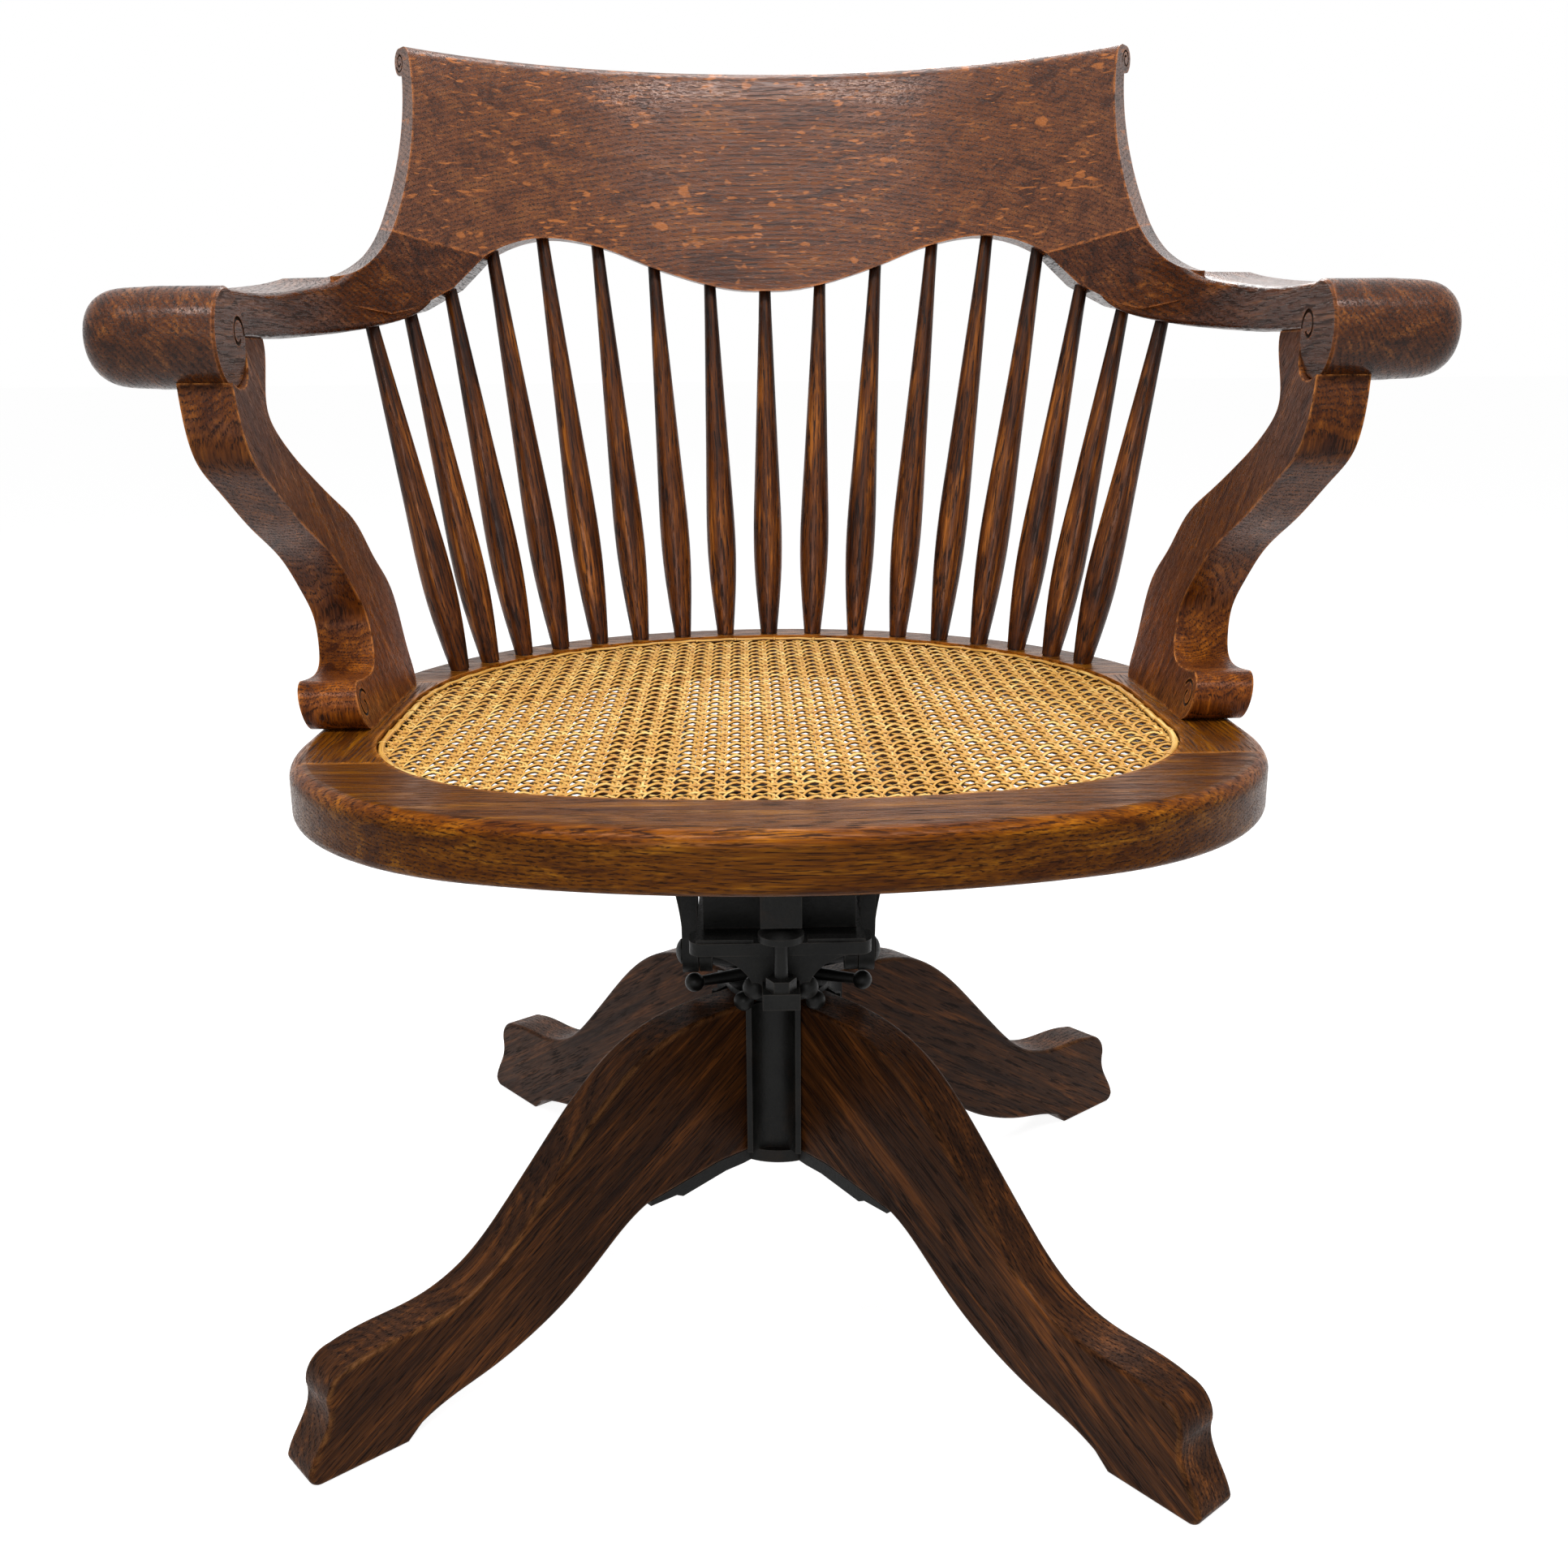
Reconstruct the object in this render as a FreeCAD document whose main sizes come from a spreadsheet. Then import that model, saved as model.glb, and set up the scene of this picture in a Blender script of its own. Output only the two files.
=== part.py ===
# Bankers swivel chair: oak armchair on four sawn legs, with a screw lift and a sprung tilt iron.
# Millimetres, +Z up, front towards -Y. The chair is built about the spindle's axis at x = y = 0, and
# each finished piece is then moved back by frame_shift, so that the origin is under the chair's middle.
import FreeCAD, Part
import math
import os
from FreeCAD import Placement, Rotation, Vector

SIZES = {
    # row frame
    "frame_shift": 38.0,
    # seat
    "seat_top": 384.0,
    "seat_thickness": 32.0,
    "seat_half_width": 268.0,
    "seat_rear_centre": 4.0,
    "seat_front": 285.0,
    "seat_front_radius": 480.0,
    "seat_corner_radius": 170.0,
    "seat_edge_round": 9.0,
    "seat_lower_round": 5.0,
    "rail_joint_front": 150.0,
    "rail_joint_rear": 66.0,
    # cane
    "cane_half_width": 226.0,
    "cane_rear_centre": 9.0,
    "cane_front": 232.0,
    "cane_front_radius": 500.0,
    "cane_corner_radius": 140.0,
    "cane_ledge": 6.0,
    "cane_thickness": 2.6,
    "cane_sink": 3.6,
    "cane_pitch": 26.0,
    "cane_gap": 13.0,
    "spline_width": 4.6,
    "spline_height": 3.0,
    # spindles and back
    "back_centre": 8.0,
    "back_radius": 236.0,
    "back_lean": 0.235,
    "spindle_step": 8.15,
    "spindle_neck": 6.2,
    "spindle_belly": 10.8,
    "spindle_tip": 4.5,
    "spindle_tenon": 5.5,
    "spindle_foot_depth": 16.0,
    "spindle_tip_depth": 14.0,
    "tenon_clearance": 0.06,
    "crest_thickness": 26.0,
    "crest_thinning": 9.5,
    "crest_top": 798.0,
    "crest_roll": 8.8,
    # arms
    "arm_inner": 280.0,
    "arm_width": 70.0,
    "arm_thickness": 24.0,
    "arm_underside": 601.0,
    "arm_roll": 25.5,
    "arm_roll_front": 140.0,
    "support_thickness": 33.8,
    "support_foot_inner": 234.5,
    "support_lean": 12.4,
    "support_outer_lean": 10.9,
    # base
    "leg_reach": 348.0,
    "leg_thickness": 30.0,
    "leg_hub_top": 195.0,
    "leg_hub_bottom": 93.0,
    "leg_start": 22.4,
    "leg_round": 2.5,
    "base_turn": 5.4,
    "sleeve_radius": 22.0,
    "flange_radius": 34.0,
    "flange_thickness": 3.0,
    "plate_distance": 40.0,
    "plate_hollow": 9.0,
    "spider_width": 28.0,
    # lift
    "spindle_radius": 13.0,
    "screw_low_end": 98.0,
    "swivel_pin_radius": 11.0,
    "wheel_height": 13.5,
    "wheel_hub": 21.0,
    "wheel_reach": 58.0,
    "wheel_ball": 6.2,
    "fit_clearance": 0.05,
    "running_gap": 0.4,
    # tilt iron
    "pivot_y": -20.0,
    "pivot_z": 225.0,
    "pivot_bolt": 6.0,
    "lug_inner": 42.0,
    "lug_thickness": 8.0,
    "lug_round": 13.0,
    "ear_thickness": 10.0,
    "ear_gap": 0.6,
    "ear_round": 13.4,
    "pan_bottom": 249.0,
    "pan_thickness": 8.0,
    "pan_front": 92.0,
    "pan_rear": 66.0,
    "pan_half_width": 54.0,
    "iron_plate": 8.0,
    "batten_depth": 32.0,
    "batten_width": 42.0,
    "batten_centre": 84.0,
    "spring_wire": 5.0,
    "spring_radius": 13.0,
    "spring_turns": 5.0,
    "spring_spread": 27.0,
    "spring_y": 42.0,
    "stop_y": -101.0,
    "stop_rod": 4.0,
    "stop_cap": 13.5,
    "stop_cap_gap": 6.0,
    "stop_cap_edge": 4.0,
    "stop_cap_dome": 5.5,
}

doc = FreeCAD.newDocument("bankers_swivel_chair")
sheet = doc.addObject("Spreadsheet::Sheet", "Sizes")
for row, (alias, number) in enumerate(SIZES.items(), start=1):
    sheet.set("A%d" % row, alias)
    sheet.set("B%d" % row, str(number))
    sheet.setAlias("B%d" % row, alias)
doc.recompute()


class Sizes:
    """The cells of the sheet as plain numbers."""

    def __getattr__(self, alias):
        return float(sheet.get(alias))


S = Sizes()
parts = []


def keep(feature, label):
    """Mark a feature as a finished piece of the chair."""
    feature.Label = label
    parts.append(feature)
    return feature


def helper(kind, label):
    return doc.addObject(kind, label)


# Outlines

def segments(start, steps):
    """Curves from a start point through lines, arcs and smooth curves; points are (x, y)."""
    curves = []
    here = Vector(start[0], start[1], 0)
    for kind, *points in steps:
        through = [Vector(x, y, 0) for x, y in points]
        if kind == "line":
            curves.append(Part.LineSegment(here, through[0]))
        elif kind == "arc":
            curves.append(Part.Arc(here, through[0], through[1]))
        else:
            spline = Part.BSplineCurve()
            spline.interpolate([here] + through)
            curves.append(spline)
        here = through[-1]
    return curves


def ring_outline(half_width, rear_centre, front, front_radius, corner_radius):
    """Seat-shaped outline: half round behind, straight sides, a flat arc in front."""
    front_centre = front_radius - front
    corner_x = half_width - corner_radius
    rise = math.sqrt((front_radius - corner_radius) ** 2 - corner_x ** 2)
    corner_y = front_centre - rise
    reach = front_radius / (front_radius - corner_radius)
    meet_x = corner_x * reach
    meet_y = front_centre - rise * reach
    bend = math.atan2(meet_y - corner_y, meet_x - corner_x) / 2.0
    middle_x = corner_x + corner_radius * math.cos(bend)
    middle_y = corner_y + corner_radius * math.sin(bend)
    start = (half_width, corner_y)
    steps = [
        ("line", (half_width, rear_centre)),
        ("arc", (0.0, rear_centre + half_width), (-half_width, rear_centre)),
        ("line", (-half_width, corner_y)),
        ("arc", (-middle_x, middle_y), (-meet_x, meet_y)),
        ("arc", (0.0, -front), (meet_x, meet_y)),
        ("arc", (middle_x, middle_y), (half_width, corner_y)),
    ]
    return segments(start, steps)


def seat_outline():
    return ring_outline(S.seat_half_width, S.seat_rear_centre, S.seat_front,
                        S.seat_front_radius, S.seat_corner_radius)


def cane_outline(grow):
    """The cane opening's outline, grown outward by a margin."""
    return ring_outline(S.cane_half_width + grow, S.cane_rear_centre, S.cane_front + grow,
                        S.cane_front_radius + grow, S.cane_corner_radius + grow)


# Document helpers

def free_sketch(label, curves, placement=Placement()):
    sketch = helper("Sketcher::SketchObject", label)
    sketch.Placement = placement
    for curve in curves:
        sketch.addGeometry(curve, False)
    return sketch


def extrude(label, sketch, direction, length, length_expression=None):
    solid = helper("Part::Extrusion", label)
    solid.Base = sketch
    solid.DirMode = "Custom"
    solid.Dir = direction
    solid.LengthFwd = length
    if length_expression:
        solid.setExpression("LengthFwd", length_expression)
    solid.Solid = True
    return solid


def plan_sketch(label, curves, height):
    return free_sketch(label, curves, Placement(Vector(0, 0, height), Rotation()))


FRONT_VIEW = Rotation(Vector(1, 0, 0), 90)
SIDE_VIEW = Rotation(Vector(1, 1, 1), 120)


def cut(label, base, tool):
    result = helper("Part::Cut", label)
    result.Base = base
    result.Tool = tool
    return result


def fuse(label, shapes):
    result = helper("Part::MultiFuse", label)
    result.Shapes = shapes
    return result


def common(label, base, tool):
    result = helper("Part::Common", label)
    result.Base = base
    result.Tool = tool
    return result


def box(label, low, high):
    block = helper("Part::Box", label)
    block.Length = high[0] - low[0]
    block.Width = high[1] - low[1]
    block.Height = high[2] - low[2]
    block.Placement = Placement(Vector(*low), Rotation())
    return block


def rod(label, base, axis, radius, length, radius_expression=None):
    cylinder = helper("Part::Cylinder", label)
    cylinder.Radius = radius
    cylinder.Height = length
    if radius_expression:
        cylinder.setExpression("Radius", radius_expression)
    cylinder.Placement = Placement(Vector(*base), Rotation(Vector(0, 0, 1), Vector(*axis)))
    return cylinder


def new_body(label):
    return doc.addObject("PartDesign::Body", label)


def body_sketch(body, role, curves, offset=0.0, offset_expression=None):
    plane = [item for item in body.Origin.OriginFeatures if item.Role == role][0]
    sketch = body.newObject("Sketcher::SketchObject", body.Label + "_outline")
    sketch.AttachmentSupport = [(plane, "")]
    sketch.MapMode = "FlatFace"
    sketch.AttachmentOffset = Placement(Vector(0, 0, offset), Rotation())
    if offset_expression:
        sketch.setExpression("AttachmentOffset.Base.z", offset_expression)
    for curve in curves:
        sketch.addGeometry(curve, False)
    return sketch


def pad(body, sketch, length_expression):
    feature = body.newObject("PartDesign::Pad", body.Label + "_pad")
    feature.Profile = sketch
    feature.setExpression("Length", length_expression)
    sketch.Visibility = False
    return feature


def revolve(body, sketch):
    feature = body.newObject("PartDesign::Revolution", body.Label + "_turned")
    feature.Profile = sketch
    feature.ReferenceAxis = (sketch, ["V_Axis"])
    feature.Angle = 360.0
    return feature


def turned_body(label, curves, base, axis=(0, 0, 1)):
    """A turned piece: its half section is drawn with the radius along x and the length along y."""
    body = new_body(label)
    revolve(body, body_sketch(body, "XZ_Plane", curves))
    body.Placement = Placement(Vector(*base), Rotation(Vector(0, 0, 1), Vector(*axis)))
    return body


def polygon(points):
    return segments(points[0], [("line", point) for point in points[1:] + points[:1]])


# Legs

SPIDER_SCREW = 2.5
SPIDER_SCREW_LENGTH = 26.0
SPIDER_SCREW_PLACES = (50.0, 107.0)
SPIDER_SEATS = (82.0, 84.4)
LEG_UNDER_START = 62.0
LEG_UNDER_END = 118.0
LEG_UNDER_END_HEIGHT = 85.0
LEG_ANGLES = {"leg_front_left": 225, "leg_front_right": 315, "leg_back_right": 45, "leg_back_left": 135}


def leg_under(radius):
    """Height of a leg's sloping underside, where the spider's arm lies against it."""
    share = (radius - LEG_UNDER_START) / (LEG_UNDER_END - LEG_UNDER_START)
    return S.leg_hub_bottom + share * (LEG_UNDER_END_HEIGHT - S.leg_hub_bottom)


def leg_curves():
    """Side view of a leg, radius from the spindle along x and height along y."""
    reach = S.leg_reach
    top = S.leg_hub_top
    low = S.leg_hub_bottom
    start = (S.leg_start, low)
    return segments(start, [
        ("line", (S.leg_start, top)),
        ("line", (58, top)),
        ("curve", (90, top - 3), (118, top - 12), (145, top - 30), (175, top - 59),
         (205, top - 90), (235, 80), (265, 69.5), (295, 67.5), (318, 64)),
        ("arc", (330, 58), (334, 46)),
        ("curve", (336, 30), (343, 18), (reach, 7)),
        ("arc", (reach - 2.05, 2.05), (reach - 7, 0)),
        ("line", (289, 0)),
        ("line", (280, 8)),
        ("curve", (262, 15), (235, 21.5), (207, 31), (179, 45), (151, 65), (132, 78.5),
         (LEG_UNDER_END, LEG_UNDER_END_HEIGHT)),
        ("line", (LEG_UNDER_START, low)),
        ("line", start),
    ])


for leg_name, leg_angle in LEG_ANGLES.items():
    leg = new_body(leg_name)
    leg_sketch = body_sketch(leg, "XZ_Plane", leg_curves(), -S.leg_thickness / 2,
                             "-Sizes.leg_thickness / 2")
    leg_pad = pad(leg, leg_sketch, "Sizes.leg_thickness")
    doc.recompute()
    edge_round = leg.newObject("PartDesign::Fillet", leg_name + "_rounds")
    side_faces = [face for face in leg_pad.Shape.Faces if abs(face.normalAt(0, 0).y) > 0.99]
    rim = {edge.hashCode() for face in side_faces for edge in face.Edges
           if edge.CenterOfMass.x > S.flange_radius}
    names = ["Edge%d" % (index + 1) for index, edge in enumerate(leg_pad.Shape.Edges)
             if edge.hashCode() in rim]
    edge_round.Base = (leg_pad, names)
    edge_round.setExpression("Radius", "Sizes.leg_round")
    pilot_circles = [Part.Circle(Vector(place, 0, 0), Vector(0, 0, 1), SPIDER_SCREW + S.fit_clearance)
                     for place in SPIDER_SCREW_PLACES]
    pilots = body_sketch(leg, "XY_Plane", pilot_circles, S.leg_hub_bottom - 20)
    drilled = leg.newObject("PartDesign::Pocket", leg_name + "_pilots")
    drilled.Profile = pilots
    drilled.Reversed = True
    drilled.Length = 20 + SPIDER_SCREW_LENGTH - 6
    leg.Placement = Placement(Vector(), Rotation(Vector(0, 0, 1), leg_angle - S.base_turn))
    keep(leg, leg_name)


# Iron fittings of the base

def corner_plate_curves():
    """Plan of one corner plate: it fills the corner between two legs and is hollowed in front."""
    half = S.leg_thickness / 2
    root = half * math.sqrt(2)
    width = S.plate_distance - root
    hollow = S.plate_hollow
    return segments((0, root + 6), [
        ("line", (-(width - 1.5), S.plate_distance - 1.5)),
        ("line", (-(width - 1.5), S.plate_distance + 1.5)),
        ("line", (-(width - 5), S.plate_distance + 1.5)),
        ("arc", (0, S.plate_distance + 1.5 - hollow), (width - 5, S.plate_distance + 1.5)),
        ("line", (width - 1.5, S.plate_distance + 1.5)),
        ("line", (width - 1.5, S.plate_distance - 1.5)),
        ("line", (0, root + 6)),
    ])


for plate_name, plate_angle in {"corner_plate_front": 180, "corner_plate_left": 90,
                                "corner_plate_right": 270, "corner_plate_back": 0}.items():
    plate = new_body(plate_name)
    plate_sketch = body_sketch(plate, "XY_Plane", corner_plate_curves(), S.leg_hub_bottom,
                               "Sizes.leg_hub_bottom")
    pad(plate, plate_sketch, "Sizes.leg_hub_top - Sizes.leg_hub_bottom")
    plate.Placement = Placement(Vector(), Rotation(Vector(0, 0, 1), plate_angle - S.base_turn))
    keep(plate, plate_name)


def spider_arm_curves():
    """Side view of one spider arm: a long strap with a thicker rib under its inner part."""
    low = S.leg_hub_bottom
    end = 117.0
    outer_seat, inner_seat = SPIDER_SEATS
    return polygon([(0, low), (LEG_UNDER_START, low), (end, leg_under(end)), (end, outer_seat),
                    (97, outer_seat), (92, 79.4), (57, inner_seat), (43, inner_seat), (30, 85.5),
                    (0, 85.5)])


spider_arms = []
for arm_angle in (45, 135, 225, 315):
    arm_view = Placement(Vector(), Rotation(Vector(0, 0, 1), arm_angle - S.base_turn))
    view = Placement(Vector(), FRONT_VIEW)
    arm_sketch = free_sketch("spider_arm_outline", spider_arm_curves(), arm_view.multiply(view))
    across = arm_view.Rotation.multVec(Vector(0, 1, 0))
    strap = extrude("spider_arm", arm_sketch, across, S.spider_width / 2, "Sizes.spider_width / 2")
    strap.setExpression("LengthRev", "Sizes.spider_width / 2")
    spider_arms.append(strap)
spider_disc = rod("spider_disc", (0, 0, S.leg_hub_bottom - 8.5), (0, 0, 1), 38, 8.5)
spider_body = fuse("spider_body", [spider_disc] + spider_arms)
spider_bore = rod("spider_bore", (0, 0, S.leg_hub_bottom - 20), (0, 0, 1),
                  S.sleeve_radius + S.fit_clearance, 40, "Sizes.sleeve_radius + Sizes.fit_clearance")
spider_bored = cut("spider_bored", spider_body, spider_bore)

def leg_point(angle, radius, height):
    turn = math.radians(angle - S.base_turn)
    return (radius * math.cos(turn), radius * math.sin(turn), height)


def dome_middle(radius, height):
    """Middle point of a dome's half section, measured from its rim's centre."""
    sphere = (radius ** 2 + height ** 2) / (2 * height)
    half_turn = math.asin(radius / sphere) / 2
    return (sphere * math.sin(half_turn), height - sphere * (1 - math.cos(half_turn)))


def screw_curves(head, shank, length):
    """Half section of a round-headed screw that points up, its head's seat at zero."""
    across, along = dome_middle(head, head * 0.5)
    return segments((0, -head * 0.5), [
        ("arc", (across, -along), (head, 0)),
        ("line", (shank, 0)),
        ("line", (shank, length - shank)),
        ("line", (0, length)),
        ("line", (0, -head * 0.5)),
    ])


def screw_set(label, places, head, shank, length):
    """A set of like screws, kept together: each place is a base point and a direction."""
    screws = []
    for base, axis in places:
        sketch = free_sketch(label + "_section", screw_curves(head, shank, length))
        turned = helper("Part::Revolution", label + "_turned")
        turned.Source = sketch
        turned.Axis = Vector(0, 1, 0)
        turned.Base = Vector(0, 0, 0)
        turned.Angle = 360
        turned.Solid = True
        turned.Placement = Placement(Vector(*base), Rotation(Vector(0, 1, 0), Vector(*axis)))
        screws.append(turned)
    group = helper("Part::Compound", label)
    group.Links = screws
    return group


def holes_for(label, places, shank, length):
    """Pilot holes as one tool, a little wider and deeper than the screws."""
    rods = [rod(label + "_hole", base, axis, shank + S.fit_clearance, length + 1.5)
            for base, axis in places]
    return fuse(label, rods)


spider_screw_places = []
for arm_angle in (45, 135, 225, 315):
    spider_screw_places.append((leg_point(arm_angle, SPIDER_SCREW_PLACES[0], SPIDER_SEATS[1]), (0, 0, 1)))
    spider_screw_places.append((leg_point(arm_angle, SPIDER_SCREW_PLACES[1], SPIDER_SEATS[0]), (0, 0, 1)))
spider_plate = cut("spider_drilled", spider_bored,
                   holes_for("spider_holes", spider_screw_places, SPIDER_SCREW, 30))
keep(spider_plate, "spider_plate")
keep(screw_set("spider_screw_set", spider_screw_places, 5.0, SPIDER_SCREW, SPIDER_SCREW_LENGTH),
     "spider_screws")


def sleeve_curves():
    """Half section of the hub sleeve with its flange on the legs."""
    bore = S.spindle_radius + S.fit_clearance
    low = S.leg_hub_bottom - 8.5
    top = S.leg_hub_top + S.flange_thickness
    return segments((bore, low), [
        ("line", (S.sleeve_radius, low)),
        ("line", (S.sleeve_radius, S.leg_hub_top)),
        ("line", (S.flange_radius, S.leg_hub_top)),
        ("line", (S.flange_radius - 1, top)),
        ("line", (bore, top)),
        ("line", (bore, low)),
    ])


keep(turned_body("hub_sleeve", sleeve_curves(), (0, 0, 0)), "hub_sleeve")

# Screw lift

wheel_low = S.leg_hub_top + S.flange_thickness + S.running_gap
wheel_top = wheel_low + S.wheel_height
collar_low = wheel_top + S.running_gap
collar_top = collar_low + 4.0
hub_low = collar_top + S.running_gap


def wheel_hub_curves():
    bore = S.spindle_radius + S.fit_clearance
    hub = S.wheel_hub
    return segments((bore, wheel_low), [
        ("line", (hub - 2, wheel_low)),
        ("arc", (hub, wheel_low + 4), (hub - 2, wheel_low + 8)),
        ("line", (hub - 4, wheel_top)),
        ("line", (bore, wheel_top)),
        ("line", (bore, wheel_low)),
    ])


wheel_hub_sketch = free_sketch("wheel_hub_section", wheel_hub_curves())
wheel_hub = helper("Part::Revolution", "wheel_hub")
wheel_hub.Source = wheel_hub_sketch
wheel_hub.Axis = Vector(0, 1, 0)
wheel_hub.Angle = 360
wheel_hub.Solid = True
wheel_hub.Placement = Placement(Vector(), FRONT_VIEW)
ball_height = wheel_low + S.wheel_ball
wheel_bits = [wheel_hub]
for number in range(8):
    turn = math.radians(22.5 + 45 * number)
    out = (math.cos(turn), math.sin(turn))
    spoke = helper("Part::Cone", "wheel_spoke")
    spoke.Radius1 = 4.6
    spoke.Radius2 = 3.2
    spoke_start = S.wheel_hub - 4.0
    spoke.Height = S.wheel_reach - spoke_start
    spoke.Placement = Placement(Vector(out[0] * spoke_start, out[1] * spoke_start, ball_height),
                                Rotation(Vector(0, 0, 1), Vector(out[0], out[1], 0)))
    ball = helper("Part::Sphere", "wheel_ball")
    ball.setExpression("Radius", "Sizes.wheel_ball")
    ball.Placement = Placement(Vector(out[0] * S.wheel_reach, out[1] * S.wheel_reach, ball_height),
                               Rotation())
    wheel_bits += [spoke, ball]
keep(fuse("hand_wheel", wheel_bits), "hand_wheel")


def spindle_curves():
    """Half section of the lifting screw with its thrust collar and swivel pin."""
    low = S.screw_low_end
    radius = S.spindle_radius
    pin = S.swivel_pin_radius
    top = S.pan_bottom + S.pan_thickness + 14.0
    return polygon([(0, low), (radius - 2, low), (radius, low + 2), (radius, collar_low),
                    (radius + 5, collar_low), (radius + 5, collar_top), (pin, collar_top),
                    (pin, top - 1.5), (pin - 1.5, top), (0, top)])


keep(turned_body("lift_screw", spindle_curves(), (0, 0, 0)), "lift_screw")

pan_top = S.pan_bottom + S.pan_thickness
pin_bore = S.swivel_pin_radius + S.fit_clearance
washer = cut("washer_ring", rod("washer_blank", (0, 0, pan_top + S.running_gap), (0, 0, 1), 18, 2.4),
             rod("washer_bore", (0, 0, pan_top), (0, 0, 1), pin_bore, 6))
keep(washer, "retaining_washer")
nut_low = pan_top + S.running_gap + 2.4
nut_blank = helper("Part::Prism", "retaining_nut_blank")
nut_blank.Polygon = 6
nut_blank.Circumradius = 18
nut_blank.Height = 9
nut_blank.Placement = Placement(Vector(0, 0, nut_low), Rotation())
nut_bore = rod("retaining_nut_bore", (0, 0, nut_low - 1), (0, 0, 1), pin_bore, 12)
keep(cut("retaining_nut_cut", nut_blank, nut_bore), "retaining_nut")

# Yoke casting

YOKE_HUB = 24.0
NOSE_KNOB = 7.2
NOSE_KNOB_X = 15.5
NOSE_KNOB_Y = -84.0
lug_outer = S.lug_inner + S.lug_thickness
nose_low = S.pan_bottom - 27.0
tongue_top = nose_low + 10.0


def lug_curves(width_top, top, round_radius):
    """Side view of a lug that hangs round the pivot, drawn in Y and Z."""
    y = S.pivot_y
    z = S.pivot_z
    return segments((y - round_radius, z), [
        ("arc", (y, z - round_radius), (y + round_radius, z)),
        ("line", (y + width_top, top)),
        ("line", (y - width_top, top)),
        ("line", (y - round_radius, z)),
    ])


def side_plate(label, curves, inner, thickness):
    """A plate in the side view, from one distance off the middle outward, on +X or -X."""
    sketch = free_sketch(label + "_outline", curves, Placement(Vector(inner, 0, 0), SIDE_VIEW))
    return extrude(label, sketch, Vector(1, 0, 0), thickness)


def pan_curves():
    """Plan of the yoke's pan: a wide front lip, narrow between the ears and at the back."""
    half = S.pan_half_width
    front = -S.pan_front
    rear = S.pan_rear
    return segments((-half, front + 8), [
        ("arc", (-half + 2.3, front + 2.3), (-half + 8, front)),
        ("line", (half - 8, front)),
        ("arc", (half - 2.3, front + 2.3), (half, front + 8)),
        ("line", (half, front + 18)),
        ("line", (lug_outer, front + 24)),
        ("line", (lug_outer, 10)),
        ("line", (46, rear - 8)),
        ("arc", (43.6, rear - 2.4), (38, rear)),
        ("line", (-38, rear)),
        ("arc", (-43.6, rear - 2.4), (-46, rear - 8)),
        ("line", (-lug_outer, 10)),
        ("line", (-lug_outer, front + 24)),
        ("line", (-half, front + 18)),
        ("line", (-half, front + 8)),
    ])


pan = extrude("yoke_pan", plan_sketch("yoke_pan_outline", pan_curves(), S.pan_bottom),
              Vector(0, 0, 1), S.pan_thickness, "Sizes.pan_thickness")
yoke_hub = rod("yoke_hub", (0, 0, hub_low), (0, 0, 1), YOKE_HUB, S.pan_bottom + 2 - hub_low)
lug_right = side_plate("yoke_lug_right", lug_curves(22, S.pan_bottom + 2, S.lug_round),
                       S.lug_inner, S.lug_thickness)
lug_left = side_plate("yoke_lug_left", lug_curves(22, S.pan_bottom + 2, S.lug_round),
                      -lug_outer, S.lug_thickness)


def wing_curves():
    """Front view of the web under the pan's front lip: two wings that fall to the middle."""
    low = S.pan_bottom
    return segments((-50, low + 2), [
        ("line", (-50, low - 1)),
        ("curve", (-34, low - 3), (-22, low - 11), (-15, nose_low)),
        ("line", (15, nose_low)),
        ("curve", (22, low - 11), (34, low - 3), (50, low - 1)),
        ("line", (50, low + 2)),
        ("line", (-50, low + 2)),
    ])


wing_sketch = free_sketch("yoke_wing_outline", wing_curves(),
                          Placement(Vector(0, -S.pan_front + 12, 0), FRONT_VIEW))
wing = extrude("yoke_wing", wing_sketch, Vector(0, -1, 0), 9)
spine = box("yoke_spine", (-11, -S.pan_front + 6, nose_low), (11, -10, S.pan_bottom + 2))
tongue = box("yoke_tongue", (-11, S.stop_y - 9, nose_low), (11, -S.pan_front + 14, tongue_top))
wall = box("yoke_wall", (-46, -66, pan_top - 1), (46, -57, pan_top + 26))
lip = box("yoke_lip", (-50, -S.pan_front + 1, pan_top - 1), (50, -S.pan_front + 8, pan_top + 2))
lip_gap = box("yoke_lip_gap", (-16, -S.pan_front - 1, pan_top - 2), (16, -S.pan_front + 9,
                                                                      pan_top + 3))
knobs = []
for knob_x in (-NOSE_KNOB_X, NOSE_KNOB_X):
    knob = helper("Part::Sphere", "yoke_knob")
    knob.Radius = NOSE_KNOB
    knob.Placement = Placement(Vector(knob_x, NOSE_KNOB_Y, nose_low + 4), Rotation())
    knobs.append(knob)
yoke_solid = fuse("yoke_solid", [pan, yoke_hub, lug_right, lug_left, wing, spine, tongue, wall,
                                 cut("yoke_lip_cut", lip, lip_gap)] + knobs)
yoke_holes = fuse("yoke_holes", [
    rod("yoke_bore", (0, 0, hub_low - 5), (0, 0, 1), pin_bore, 80),
    rod("yoke_pivot_bore", (-lug_outer - 5, S.pivot_y, S.pivot_z), (1, 0, 0),
        S.pivot_bolt + S.fit_clearance, S.lug_thickness + 8),
    rod("yoke_pivot_bore", (lug_outer + 5, S.pivot_y, S.pivot_z), (-1, 0, 0),
        S.pivot_bolt + S.fit_clearance, S.lug_thickness + 8),
    rod("yoke_stop_bore", (0, S.stop_y, 200), (0, 0, 1), S.stop_rod + S.fit_clearance, 60),
])
keep(cut("yoke_drilled", yoke_solid, yoke_holes), "yoke_casting")


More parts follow.
